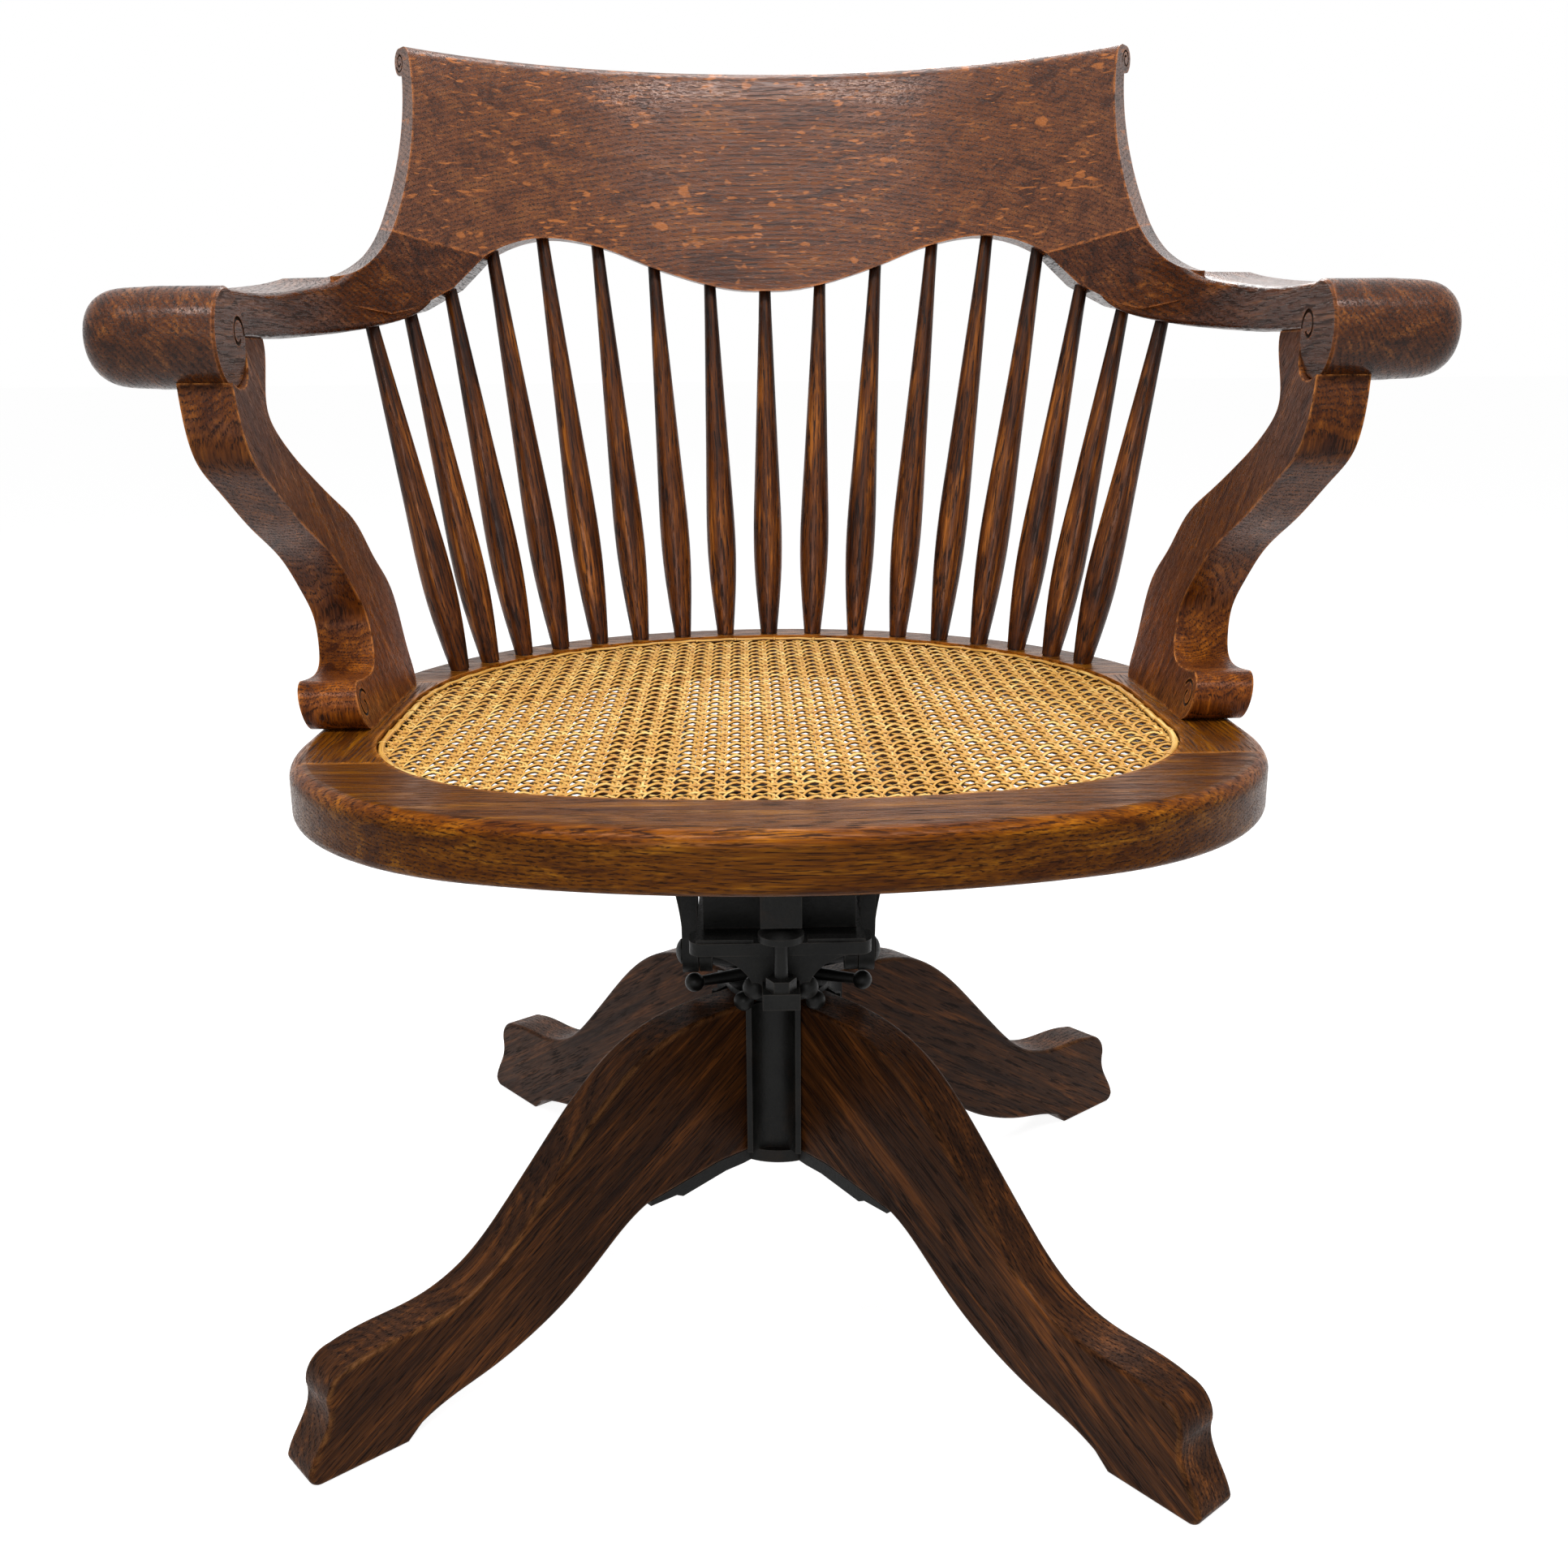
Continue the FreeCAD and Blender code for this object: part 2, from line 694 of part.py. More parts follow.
def stop_post_curves():
    """Half section of the stop post: a thin rod with a domed cap."""
    low = nose_low - 2
    cap_low = pan_top + S.stop_cap_gap
    cap_edge = cap_low + S.stop_cap_edge
    cap = S.stop_cap
    across, along = dome_middle(cap, S.stop_cap_dome)
    return segments((0, low), [
        ("line", (S.stop_rod, low)),
        ("line", (S.stop_rod, cap_low)),
        ("line", (cap, cap_low)),
        ("line", (cap, cap_edge)),
        ("arc", (across, cap_edge + along), (0, cap_edge + S.stop_cap_dome)),
        ("line", (0, low)),
    ])


keep(turned_body("stop_post", stop_post_curves(), (0, S.stop_y, 0)), "stop_post")
stop_top = pan_top + S.stop_cap_gap + S.stop_cap_edge + S.stop_cap_dome
stop_nut_blank = helper("Part::Prism", "stop_nut_blank")
stop_nut_blank.Polygon = 6
stop_nut_blank.Circumradius = 9
stop_nut_blank.Height = 7
stop_nut_blank.Placement = Placement(Vector(0, S.stop_y, tongue_top), Rotation())
stop_nut_bore = rod("stop_nut_bore", (0, S.stop_y, 200), (0, 0, 1),
                    S.stop_rod + S.fit_clearance, 60)
keep(cut("stop_nut_cut", stop_nut_blank, stop_nut_bore), "stop_nut")

# Tilt iron under the seat

IRON_SCREW = 3.2
IRON_SCREW_LENGTH = 26.0
ear_inner = lug_outer + S.ear_gap
ear_outer = ear_inner + S.ear_thickness
seat_low = S.seat_top - S.seat_thickness
batten_low = seat_low - S.batten_depth
plate_low = batten_low - S.iron_plate


def ear_curves():
    """Side view of an ear: round at the pivot, wide where it meets the plate."""
    y = S.pivot_y
    z = S.pivot_z
    round_radius = S.ear_round
    return segments((y - round_radius, z), [
        ("arc", (y, z - round_radius), (y + round_radius, z)),
        ("line", (y + round_radius, z + 14)),
        ("curve", (y + 20, z + 45), (y + 34, plate_low - 12), (y + 56, plate_low + 1)),
        ("line", (y - 56, plate_low + 1)),
        ("curve", (y - 34, plate_low - 12), (y - 20, z + 45), (y - round_radius, z + 14)),
        ("line", (y - round_radius, z)),
    ])


def flare_curves():
    """Front view of the flare that carries an ear outward into the plate."""
    low = S.pivot_z + 16
    return segments((ear_inner, plate_low + 1), [
        ("line", (ear_inner, low)),
        ("line", (ear_outer, low)),
        ("curve", (ear_outer + 5, low + 30), (ear_outer + 22, plate_low + 1)),
        ("line", (ear_inner, plate_low + 1)),
    ])


def mirrored(label, feature):
    twin = helper("Part::Mirroring", label)
    twin.Source = feature
    twin.Normal = Vector(1, 0, 0)
    return twin


ear_right = side_plate("ear_right", ear_curves(), ear_inner, S.ear_thickness)
ear_left = side_plate("ear_left", ear_curves(), -ear_outer, S.ear_thickness)
flare_sketch = free_sketch("flare_outline", flare_curves(),
                           Placement(Vector(0, S.pivot_y + 8, 0), FRONT_VIEW))
flare_right = extrude("flare_right", flare_sketch, Vector(0, -1, 0), 16)
flare_left = mirrored("flare_left", flare_right)
plate_half = S.batten_centre + S.batten_width / 2
front_bar = box("iron_front_bar", (-plate_half, -118, plate_low), (plate_half, -84, batten_low))
rear_bar = box("iron_rear_bar", (-plate_half, 22, plate_low), (plate_half, 62, batten_low))
side_bar_right = box("iron_side_bar", (ear_inner, -118, plate_low), (plate_half, 62, batten_low))
side_bar_left = box("iron_side_bar", (-plate_half, -118, plate_low), (-ear_inner, 62, batten_low))
stop_lug = box("iron_stop_lug", (-12, S.stop_y - 9, stop_top + 0.3), (12, S.stop_y + 9,
                                                                       plate_low + 1))
iron_solid = fuse("iron_solid", [ear_right, ear_left, flare_right, flare_left, front_bar, rear_bar,
                                 side_bar_right, side_bar_left, stop_lug])
iron_screw_places = [((x, y, plate_low), (0, 0, 1)) for x in (-S.batten_centre, S.batten_centre)
                     for y in (-101, -55, 42)]
iron_holes = fuse("iron_holes", [
    rod("iron_pivot_bore", (-ear_outer - 2, S.pivot_y, S.pivot_z), (1, 0, 0),
        S.pivot_bolt + S.fit_clearance, S.ear_thickness + 4),
    rod("iron_pivot_bore", (ear_outer + 2, S.pivot_y, S.pivot_z), (-1, 0, 0),
        S.pivot_bolt + S.fit_clearance, S.ear_thickness + 4),
    holes_for("iron_screw_holes", iron_screw_places, IRON_SCREW, IRON_SCREW_LENGTH),
])
keep(cut("iron_drilled", iron_solid, iron_holes), "tilt_iron")
keep(screw_set("iron_screw_set", iron_screw_places, 6.5, IRON_SCREW, IRON_SCREW_LENGTH), "iron_screws")


def pivot_bolt_curves():
    """Half section of a pivot bolt, its head's seat at zero and its end inside the lug."""
    head = 8.0
    length = S.ear_thickness + S.ear_gap + S.lug_thickness
    across, along = dome_middle(head, 3.3)
    return segments((0, -4.5), [
        ("arc", (across, -1.2 - along), (head, -1.2)),
        ("line", (head, 0)),
        ("line", (S.pivot_bolt, 0)),
        ("line", (S.pivot_bolt, length)),
        ("line", (0, length)),
        ("line", (0, -4.5)),
    ])


keep(turned_body("pivot_bolt_left", pivot_bolt_curves(), (-ear_outer, S.pivot_y, S.pivot_z),
                 (1, 0, 0)), "pivot_bolt_left")
keep(turned_body("pivot_bolt_right", pivot_bolt_curves(), (ear_outer, S.pivot_y, S.pivot_z),
                 (-1, 0, 0)), "pivot_bolt_right")


def coil(label, centre_x):
    """Compression spring: one tube swept along a helix between the pan and the rear bar."""
    low = pan_top + S.spring_wire / 2 + 0.2
    high = plate_low - S.spring_wire / 2 - 0.2
    pitch = (high - low) / S.spring_turns
    biarc_points = []
    steps_per_turn = 8
    for step in range(int(S.spring_turns * steps_per_turn) + 1):
        angle = 2 * math.pi * step / steps_per_turn
        biarc_points.append(Vector(centre_x + S.spring_radius * math.cos(angle),
                                   S.spring_y + S.spring_radius * math.sin(angle),
                                   low + pitch * step / steps_per_turn))
    arcs = [Part.Arc(*biarc_points[index:index + 3]).toShape()
            for index in range(0, len(biarc_points) - 2, 2)]
    path = Part.Wire(arcs)
    tangent = path.Edges[0].tangentAt(path.Edges[0].FirstParameter)
    section = Part.Wire(Part.Circle(biarc_points[0], tangent, S.spring_wire / 2).toShape())
    tube = path.makePipeShell([section], True, False)
    wound = helper("Part::Feature", label)
    wound.Shape = tube
    print(label, "gap between turns", round(pitch - S.spring_wire, 2),
          "volume ratio", round(tube.Volume / (math.pi * (S.spring_wire / 2) ** 2 * path.Length), 3))
    return keep(wound, label)


coil("spring_left", -S.spring_spread)
coil("spring_right", S.spring_spread)


# Battens

BATTEN_END_RISE = 22.0
BATTEN_SCREW = 2.6
BATTEN_SCREW_LENGTH = 28.0


def batten_curves():
    """Side view of a batten: deep in the middle, thinned where it meets the front and back rails."""
    thin = batten_low + BATTEN_END_RISE
    return polygon([(-238, seat_low), (-238, thin), (-213, thin), (-168, batten_low),
                    (160, batten_low), (205, thin), (240, thin), (240, seat_low)])


batten_screw_places = [((x, y, batten_low + BATTEN_END_RISE), (0, 0, 1))
                       for x in (-S.batten_centre, S.batten_centre) for y in (-229, 228)]
batten_holes = holes_for("batten_holes", batten_screw_places, BATTEN_SCREW, BATTEN_SCREW_LENGTH)
iron_screw_holes = holes_for("batten_iron_holes", iron_screw_places, IRON_SCREW, IRON_SCREW_LENGTH)
for batten_name, batten_side in (("batten_left", -1), ("batten_right", 1)):
    inner = batten_side * S.batten_centre - S.batten_width / 2
    block = side_plate(batten_name + "_block", batten_curves(), inner, S.batten_width)
    drilled = cut(batten_name + "_drilled", cut(batten_name + "_bored", block, batten_holes),
                  iron_screw_holes)
    keep(drilled, batten_name)
keep(screw_set("batten_screw_set", batten_screw_places, 2 * BATTEN_SCREW, BATTEN_SCREW,
               BATTEN_SCREW_LENGTH), "batten_screws")

# Spindles

SPINDLE_TOPS = [639.0, 641.0, 651.0, 666.0, 674.0, 663.0, 638.0, 621.0, 609.0]


def spindle_line(number):
    """Foot of a spindle on the seat, its direction, and its length up to the board it carries."""
    step = number - 9
    turn = math.radians(S.spindle_step * step)
    out = (math.sin(turn), math.cos(turn))
    foot = Vector(S.back_radius * out[0], S.back_centre + S.back_radius * out[1], S.seat_top)
    direction = Vector(S.back_lean * out[0], S.back_lean * out[1], 1.0)
    length = (SPINDLE_TOPS[abs(step)] - S.seat_top) * direction.Length
    direction.normalize()
    return foot, direction, length


def stick_curves(length, grow=0.0):
    """Half section of a spindle with its two tenons; the hole for it is grown by a clearance."""
    neck = S.spindle_neck + grow
    tip = S.spindle_tip + grow
    tenon = S.spindle_tenon + grow
    foot = -S.spindle_foot_depth - grow
    end = length + S.spindle_tip_depth + grow
    return segments((0, foot), [
        ("line", (tenon, foot)),
        ("line", (tenon, 0)),
        ("line", (neck, 0)),
        ("curve", (neck + 1.9, 0.07 * length), (S.spindle_belly + grow, 0.23 * length),
         (S.spindle_belly - 1.2 + grow, 0.45 * length), (tip + 2.2, 0.75 * length), (tip, length)),
        ("line", (tip, end)),
        ("line", (0, end)),
        ("line", (0, foot)),
    ])


def stick_hole(label, number):
    foot, direction, length = spindle_line(number)
    sketch = free_sketch(label + "_section", stick_curves(length, S.tenon_clearance))
    turned = helper("Part::Revolution", label)
    turned.Source = sketch
    turned.Axis = Vector(0, 1, 0)
    turned.Angle = 360
    turned.Solid = True
    turned.Placement = Placement(foot, Rotation(Vector(0, 1, 0), direction))
    return turned


stick_holes = {}
for number in range(1, 18):
    foot, direction, length = spindle_line(number)
    keep(turned_body("spindle_%02d" % number, stick_curves(length), foot, direction),
         "spindle_%02d" % number)
    stick_holes[number] = stick_hole("stick_hole_%02d" % number, number)

# Seat frame

seat_block = extrude("seat_block", plan_sketch("seat_plan", seat_outline(), seat_low),
                     Vector(0, 0, 1), S.seat_thickness, "Sizes.seat_thickness")
doc.recompute()
seat_rounded = helper("Part::Fillet", "seat_rounded")
seat_rounded.Base = seat_block
rim_edges = []
for index, edge in enumerate(seat_block.Shape.Edges, start=1):
    heights = {round(vertex.Z, 3) for vertex in edge.Vertexes}
    if heights == {S.seat_top}:
        rim_edges.append((index, S.seat_edge_round, S.seat_edge_round))
    elif heights == {seat_low}:
        rim_edges.append((index, S.seat_lower_round, S.seat_lower_round))
seat_rounded.Edges = rim_edges
ledge_height = S.seat_top - S.cane_sink - S.cane_thickness
opening = extrude("cane_opening", plan_sketch("opening_plan", cane_outline(-S.cane_ledge), seat_low - 1),
                  Vector(0, 0, 1), S.seat_thickness + 2)
rabbet = extrude("cane_rabbet", plan_sketch("rabbet_plan", cane_outline(0), ledge_height),
                 Vector(0, 0, 1), S.cane_sink + S.cane_thickness + 1)
support_screw_places = [((x, y, seat_low), (0, 0, 1)) for x in (-251, 251) for y in (-35, 30)]
support_screw_holes = holes_for("support_screw_holes", support_screw_places, 2.6, 52)
seat_holes = fuse("seat_holes", [opening, rabbet, batten_holes, support_screw_holes]
                  + [stick_holes[number] for number in range(1, 18)])
seat_ring = cut("seat_ring", seat_rounded, seat_holes)
wide = S.seat_half_width + 20
for rail_name, low, high in (
        ("seat_rail_front", (-wide, -320, seat_low - 2), (wide, -S.rail_joint_front, S.seat_top + 2)),
        ("seat_rail_left", (-wide, -S.rail_joint_front, seat_low - 2),
         (0, S.rail_joint_rear, S.seat_top + 2)),
        ("seat_rail_right", (0, -S.rail_joint_front, seat_low - 2),
         (wide, S.rail_joint_rear, S.seat_top + 2)),
        ("seat_rail_back", (-wide, S.rail_joint_rear, seat_low - 2), (wide, 320, S.seat_top + 2))):
    keep(common(rail_name + "_cut", seat_ring, box(rail_name + "_zone", low, high)), rail_name)

# Cane panel and its binding

def inside_cane(x, y, margin):
    """True where a point lies inside the opening by at least the margin."""
    half = S.cane_half_width - margin
    corner = S.cane_corner_radius - margin
    front_centre = S.cane_front_radius - S.cane_front
    corner_x = S.cane_half_width - S.cane_corner_radius
    corner_y = front_centre - math.sqrt((S.cane_front_radius - S.cane_corner_radius) ** 2
                                        - corner_x ** 2)
    if y > S.cane_rear_centre and math.hypot(x, y - S.cane_rear_centre) > half:
        return False
    if abs(x) > corner_x and y < corner_y and math.hypot(abs(x) - corner_x, y - corner_y) > corner:
        return False
    front = front_centre - math.sqrt((S.cane_front_radius - margin) ** 2 - x ** 2)
    return abs(x) < half and y > front


net_curves = cane_outline(-0.1)
net_count = 0
reach_steps = int(S.cane_half_width // S.cane_pitch) + 1
for row in range(-reach_steps, reach_steps + 1):
    for column in range(-reach_steps, reach_steps + 1):
        x = column * S.cane_pitch
        y = row * S.cane_pitch
        if inside_cane(x, y, S.cane_gap / 2 + 12):
            half = S.cane_gap / 2
            net_curves += polygon([(x - half, y), (x, y - half), (x + half, y), (x, y + half)])
            net_count += 1
print("cane gaps", net_count)
panel = extrude("cane_net", plan_sketch("cane_net_plan", net_curves, ledge_height),
                Vector(0, 0, 1), S.cane_thickness, "Sizes.cane_thickness")
keep(panel, "cane_panel")
binding = extrude("cane_binding", plan_sketch("cane_binding_plan", cane_outline(-0.2)
                                              + cane_outline(-0.2 - S.spline_width),
                                              ledge_height + S.cane_thickness),
                  Vector(0, 0, 1), S.spline_height, "Sizes.spline_height")
keep(binding, "cane_spline")

# Crest rail and arms

def back_face(height, offset=0.0):
    """Distance from the back's centre line to the spindle cone at a height, plus an offset."""
    return S.back_radius + (height - S.seat_top) * S.back_lean + offset


def board_curves():
    """Section through the steamed back board: it thins upward and ends in a small roll behind."""
    inner = -S.crest_thickness / 2 + 1
    outer = S.crest_thickness / 2 + 1
    low = 590.0
    full = 690.0
    top = S.crest_top
    roll = S.crest_roll
    under_roll = top - 2 * roll
    thinned = outer - S.crest_thinning
    roll_centre = back_face(under_roll, thinned + 3)
    return segments((back_face(low, inner), low), [
        ("line", (back_face(low, outer), low)),
        ("line", (back_face(full, outer), full)),
        ("curve", (back_face(735, outer - 4.5), 735), (back_face(under_roll, thinned), under_roll)),
        ("line", (roll_centre, under_roll)),
        ("arc", (roll_centre + roll, top - roll), (roll_centre, top)),
        ("line", (back_face(top, inner) + 7, top)),
        ("arc", (back_face(top, inner) + 2, top - 2), (back_face(top - 7, inner), top - 7)),
        ("line", (back_face(low, inner), low)),
    ])


board_sketch = free_sketch("board_section", board_curves())
board = helper("Part::Revolution", "back_board")
board.Source = board_sketch
board.Axis = Vector(0, 1, 0)
board.Angle = 150
board.Solid = True
board.Placement = Placement(Vector(0, S.back_centre, 0),
                            Rotation(Vector(0, 0, 1), 15).multiply(FRONT_VIEW))

LOWER_EDGE = [(37, 642), (67, 650), (96, 660), (111, 666), (137, 673), (162, 675), (183, 670),
              (200, 660)]
END_EDGE = [(232.8, 791), (236, 758), (249.8, 716), (265, 688), (279, 670), (294, 657.5),
            (319, 645.5), (345, 640.5)]
END_FACE_X = 241.5
END_REACH_X = 480.0
SCARF_START = (200, 660)
SCARF_END = (252, 673)
SCARF_SLOPE = (SCARF_END[1] - SCARF_START[1]) / (SCARF_END[0] - SCARF_START[0])
WIDE_X = 330.0
WIDE_Z = SCARF_START[1] + (WIDE_X - SCARF_START[0]) * SCARF_SLOPE
END_TURN = 32.0
CREST_FRONT_Y = 100.0
OVER_Z = S.crest_top + 10


def flip(points):
    return [(-x, z) for x, z in reversed(points)]


def crest_outline():
    """Front view of the crest rail, with the scarfs at its lower ends; its ends are cut apart."""
    return segments((0, 639), [
        tuple(["curve"] + LOWER_EDGE),
        ("line", (WIDE_X, WIDE_Z)),
        ("line", (WIDE_X, OVER_Z)),
        ("line", (-WIDE_X, OVER_Z)),
        ("line", (-WIDE_X, WIDE_Z)),
        ("line", (-SCARF_START[0], SCARF_START[1])),
        tuple(["curve"] + flip(LOWER_EDGE)[1:] + [(0, 639)]),
    ])


def end_outline():
    """Front view of what is sawn off the board's right end and off the top of the arm below it."""
    low = END_EDGE[-1]
    return segments((END_REACH_X, low[1]), [
        ("line", low),
        tuple(["curve"] + END_EDGE[-2::-1]),
        ("line", (END_EDGE[0][0], OVER_Z + 10)),
        ("line", (END_REACH_X, OVER_Z + 10)),
        ("line", (END_REACH_X, low[1])),
    ])


end_square = Vector(math.sin(math.radians(END_TURN)), math.cos(math.radians(END_TURN)), 0)
end_face_y = S.back_centre + math.sqrt(back_face(735, -12) ** 2 - END_FACE_X ** 2)
end_cut_right = extrude("end_cut_right",
                        free_sketch("end_cut_outline", end_outline(),
                                    Placement(Vector(0, end_face_y, 0), FRONT_VIEW)),
                        end_square, 110)
end_cut_right.LengthRev = 180
end_cut_left = mirrored("end_cut_left", end_cut_right)
crest_zone = extrude("crest_zone", free_sketch("crest_outline", crest_outline(),
                                               Placement(Vector(0, CREST_FRONT_Y, 0), FRONT_VIEW)),
                     Vector(0, 1, 0), 300)
crest_holes = fuse("crest_holes", [stick_holes[number] for number in range(3, 16)]
                   + [end_cut_right, end_cut_left])
keep(cut("crest_drilled", common("crest_board", board, crest_zone), crest_holes), "crest_rail")


def leaning_rectangle(inner, outer, low, high, corner, lean):
    """Rectangle with rounded corners, starting on its lower edge, its sides leaning outward."""
    c = corner * (1 - math.sqrt(0.5))

    def spot(x, z):
        return (x + lean * (z - low), z)

    return segments(spot(inner + corner, low), [
        ("line", spot(outer - corner, low)),
        ("arc", spot(outer - c, low + c), spot(outer, low + corner)),
        ("line", spot(outer, high - corner)),
        ("arc", spot(outer - c, high - c), spot(outer - corner, high)),
        ("line", spot(inner + corner, high)),
        ("arc", spot(inner + c, high - c), spot(inner, high - corner)),
        ("line", spot(inner, low + corner)),
        ("arc", spot(inner + c, low + c), spot(inner + corner, low)),
    ])


# Sections of an arm from its hand rest to the scarf: where, inner and outer edge, low and high,
# corner radius and lean
ARM_SECTIONS = [
    ("y", -104, 280.4, 341, 601, 625, 3, 0.0),
    ("y", -85, 280.4, 342.5, 601, 625, 3, 0.0),
    ("y", -60, 280.4, 345, 601, 625, 3.2, 0.0),
    ("y", -30, 280.4, 347, 601, 626, 3.5, 0.0),
    ("turn", 88, 280, 346, 602.5, 629.5, 3.5, 0.02),
    ("turn", 80, 279, 338, 604.5, 633.5, 4, 0.05),
    ("turn", 72, 278.5, 325, 607.5, 642, 4, 0.11),
    ("turn", 66, 279, 314, 611, 660, 4, 0.18),
    ("turn", 60, 279.3, 304, 616.5, 690, 3.5, 0.235),
    ("turn", 54, 282.6, 306.6, 630, 700, 3, 0.235),
]


def arm_section(side, kind, where, *shape):
    if kind == "y":
        spot = Vector(0, where, 0)
        turn = 0.0
    else:
        spot = Vector(0, S.back_centre, 0)
        turn = 90.0 - where
    if side < 0:
        view = Rotation(Vector(0, 0, 1), 180 - turn).multiply(FRONT_VIEW)
    else:
        view = Rotation(Vector(0, 0, 1), turn).multiply(FRONT_VIEW)
    return free_sketch("arm_section", leaning_rectangle(*shape), Placement(spot, view))


def arm_board_outline():
    """Front view of the arm's share of the back board, below the scarf."""
    return polygon([SCARF_START, (276, SCARF_START[1] + 76 * SCARF_SLOPE), (276, 625), (262, 622),
                    (250, 619), (239, 623), (218, 638)])


def hand_rest_curves():
    """Half section of a hand rest: flat at its inner end, barrel-shaped and blunt at its outer end."""
    full = S.arm_roll
    wide = S.arm_width
    return segments((0, 0), [
        ("line", (full - 1.2, 0)),
        ("line", (full, 1.2)),
        ("line", (full, wide - 34)),
        ("curve", (full - 0.9, wide - 18), (full - 3.6, wide - 8), (full - 9, wide - 2),
         (full - 17, wide)),
        ("line", (0, wide)),
        ("line", (0, 0)),
    ])


arm_dowel_places = [((side * 297, y, 589), (0, 0, 1)) for side in (-1, 1) for y in (-80, -62)]
arm_dowels = helper("Part::Compound", "arm_dowel_set")
ARM_DOWEL = 3.5
ARM_DOWEL_LENGTH = 24.0
arm_dowels.Links = [rod("arm_dowel", base, axis, ARM_DOWEL, ARM_DOWEL_LENGTH)
                    for base, axis in arm_dowel_places]
dowel_holes = fuse("dowel_holes", [rod("dowel_hole", (base[0], base[1], base[2] - 0.5), axis,
                                       ARM_DOWEL + S.fit_clearance, ARM_DOWEL_LENGTH + 1)
                                   for base, axis in arm_dowel_places])
keep(arm_dowels, "arm_dowels")

arm_zone = extrude("arm_zone", free_sketch("arm_board_outline", arm_board_outline(),
                                           Placement(Vector(0, 0, 0), FRONT_VIEW)),
                   Vector(0, 1, 0), 400)
scarf_zone = extrude("scarf_zone", free_sketch("scarf_outline", polygon([
    (150, SCARF_START[1] - 50 * SCARF_SLOPE), (WIDE_X, WIDE_Z), (WIDE_X, OVER_Z), (150, OVER_Z)]),
                                              Placement(Vector(0, 0, 0), FRONT_VIEW)),
                     Vector(0, 1, 0), 400)
roll_y = -S.arm_roll_front + S.arm_roll - 0.5
roll_z = S.arm_underside + S.arm_thickness - S.arm_roll + 1
for arm_name, side, numbers in (("arm_left", -1, (1, 2, 3, 4)), ("arm_right", 1, (14, 15, 16, 17))):
    sweep = helper("Part::Loft", arm_name + "_sweep")
    sweep.Sections = [arm_section(side, *section) for section in ARM_SECTIONS]
    sweep.Solid = True
    sweep.Ruled = False
    roll = helper("Part::Revolution", arm_name + "_roll")
    roll.Source = free_sketch("hand_rest_section", hand_rest_curves())
    roll.Axis = Vector(0, 1, 0)
    roll.Angle = 360
    roll.Solid = True
    roll.Placement = Placement(Vector(side * S.arm_inner, roll_y, roll_z),
                               Rotation(Vector(0, 1, 0), Vector(side, 0, 0)))
    zone = arm_zone if side > 0 else mirrored(arm_name + "_zone", arm_zone)
    end_board = common(arm_name + "_board", board, zone)
    whole = fuse(arm_name + "_whole", [sweep, roll, end_board])
    above_scarf = scarf_zone if side > 0 else mirrored(arm_name + "_above_scarf", scarf_zone)
    end_cut = end_cut_right if side > 0 else end_cut_left
    bores = fuse(arm_name + "_bores", [dowel_holes, above_scarf, end_cut]
                 + [stick_holes[number] for number in numbers])
    keep(cut(arm_name + "_drilled", whole, bores), arm_name)


def support_curves():
    """Side view of an arm support: a scrolled foot, a waist and a forward curl under the arm."""
    top = S.arm_underside
    low = S.seat_top
    return segments((58, low), [
        ("curve", (62, 391), (62.5, 406), (66, 429), (65, 447), (46, 469), (32, 488), (-2, 508),
         (-43, 528), (-72, 546), (-83, 560), (-73, 576), (-52, top)),
        ("line", (-118, top)),
        ("curve", (-125, 584), (-132, 566), (-133, 541), (-115, 525), (-76, 499), (-37, 476),
         (-19, 456), (-10, 439), (-14, 426), (-25, 414), (-45, 410), (-68, low + 28)),
        ("arc", (-82, low + 14), (-68, low)),
        ("line", (58, low)),
    ])


def support_slab_outline():
    """Front view of a support's plank: it leans outward and thins a little towards the arm."""
    low = S.seat_top - 20
    high = S.arm_underside + 30
    inner_lean = math.tan(math.radians(S.support_lean))
    outer_lean = math.tan(math.radians(S.support_outer_lean))
    foot_outer = S.support_foot_inner + S.support_thickness
    return polygon([(S.support_foot_inner - 20 * inner_lean, low), (foot_outer - 20 * outer_lean, low),
                    (foot_outer + (high - S.seat_top) * outer_lean, high),
                    (S.support_foot_inner + (high - S.seat_top) * inner_lean, high)])


slab = extrude("support_slab", free_sketch("support_slab_outline", support_slab_outline(),
                                           Placement(Vector(0, 120, 0), FRONT_VIEW)),
               Vector(0, -1, 0), 320)
roll_clear = rod("roll_clear", (180, roll_y, roll_z), (1, 0, 0), S.arm_roll + S.fit_clearance, 200)
support_sketch = free_sketch("support_outline", support_curves(),
                             Placement(Vector(200, 0, 0), SIDE_VIEW))
support_block = extrude("support_block", support_sketch, Vector(1, 0, 0), 160)
support_plank = common("support_plank", support_block, slab)
for support_name, side in (("arm_support_right", 1), ("arm_support_left", -1)):
    plank = cut(support_name + "_plank", support_plank, roll_clear)
    if side < 0:
        plank = mirrored(support_name + "_mirrored", plank)
    bores = fuse(support_name + "_bores", [dowel_holes, support_screw_holes])
    keep(cut(support_name + "_drilled", plank, bores), support_name)
keep(screw_set("support_screw_set", support_screw_places, 5.2, 2.6, 52), "support_screws")

# Row frame, checks and export

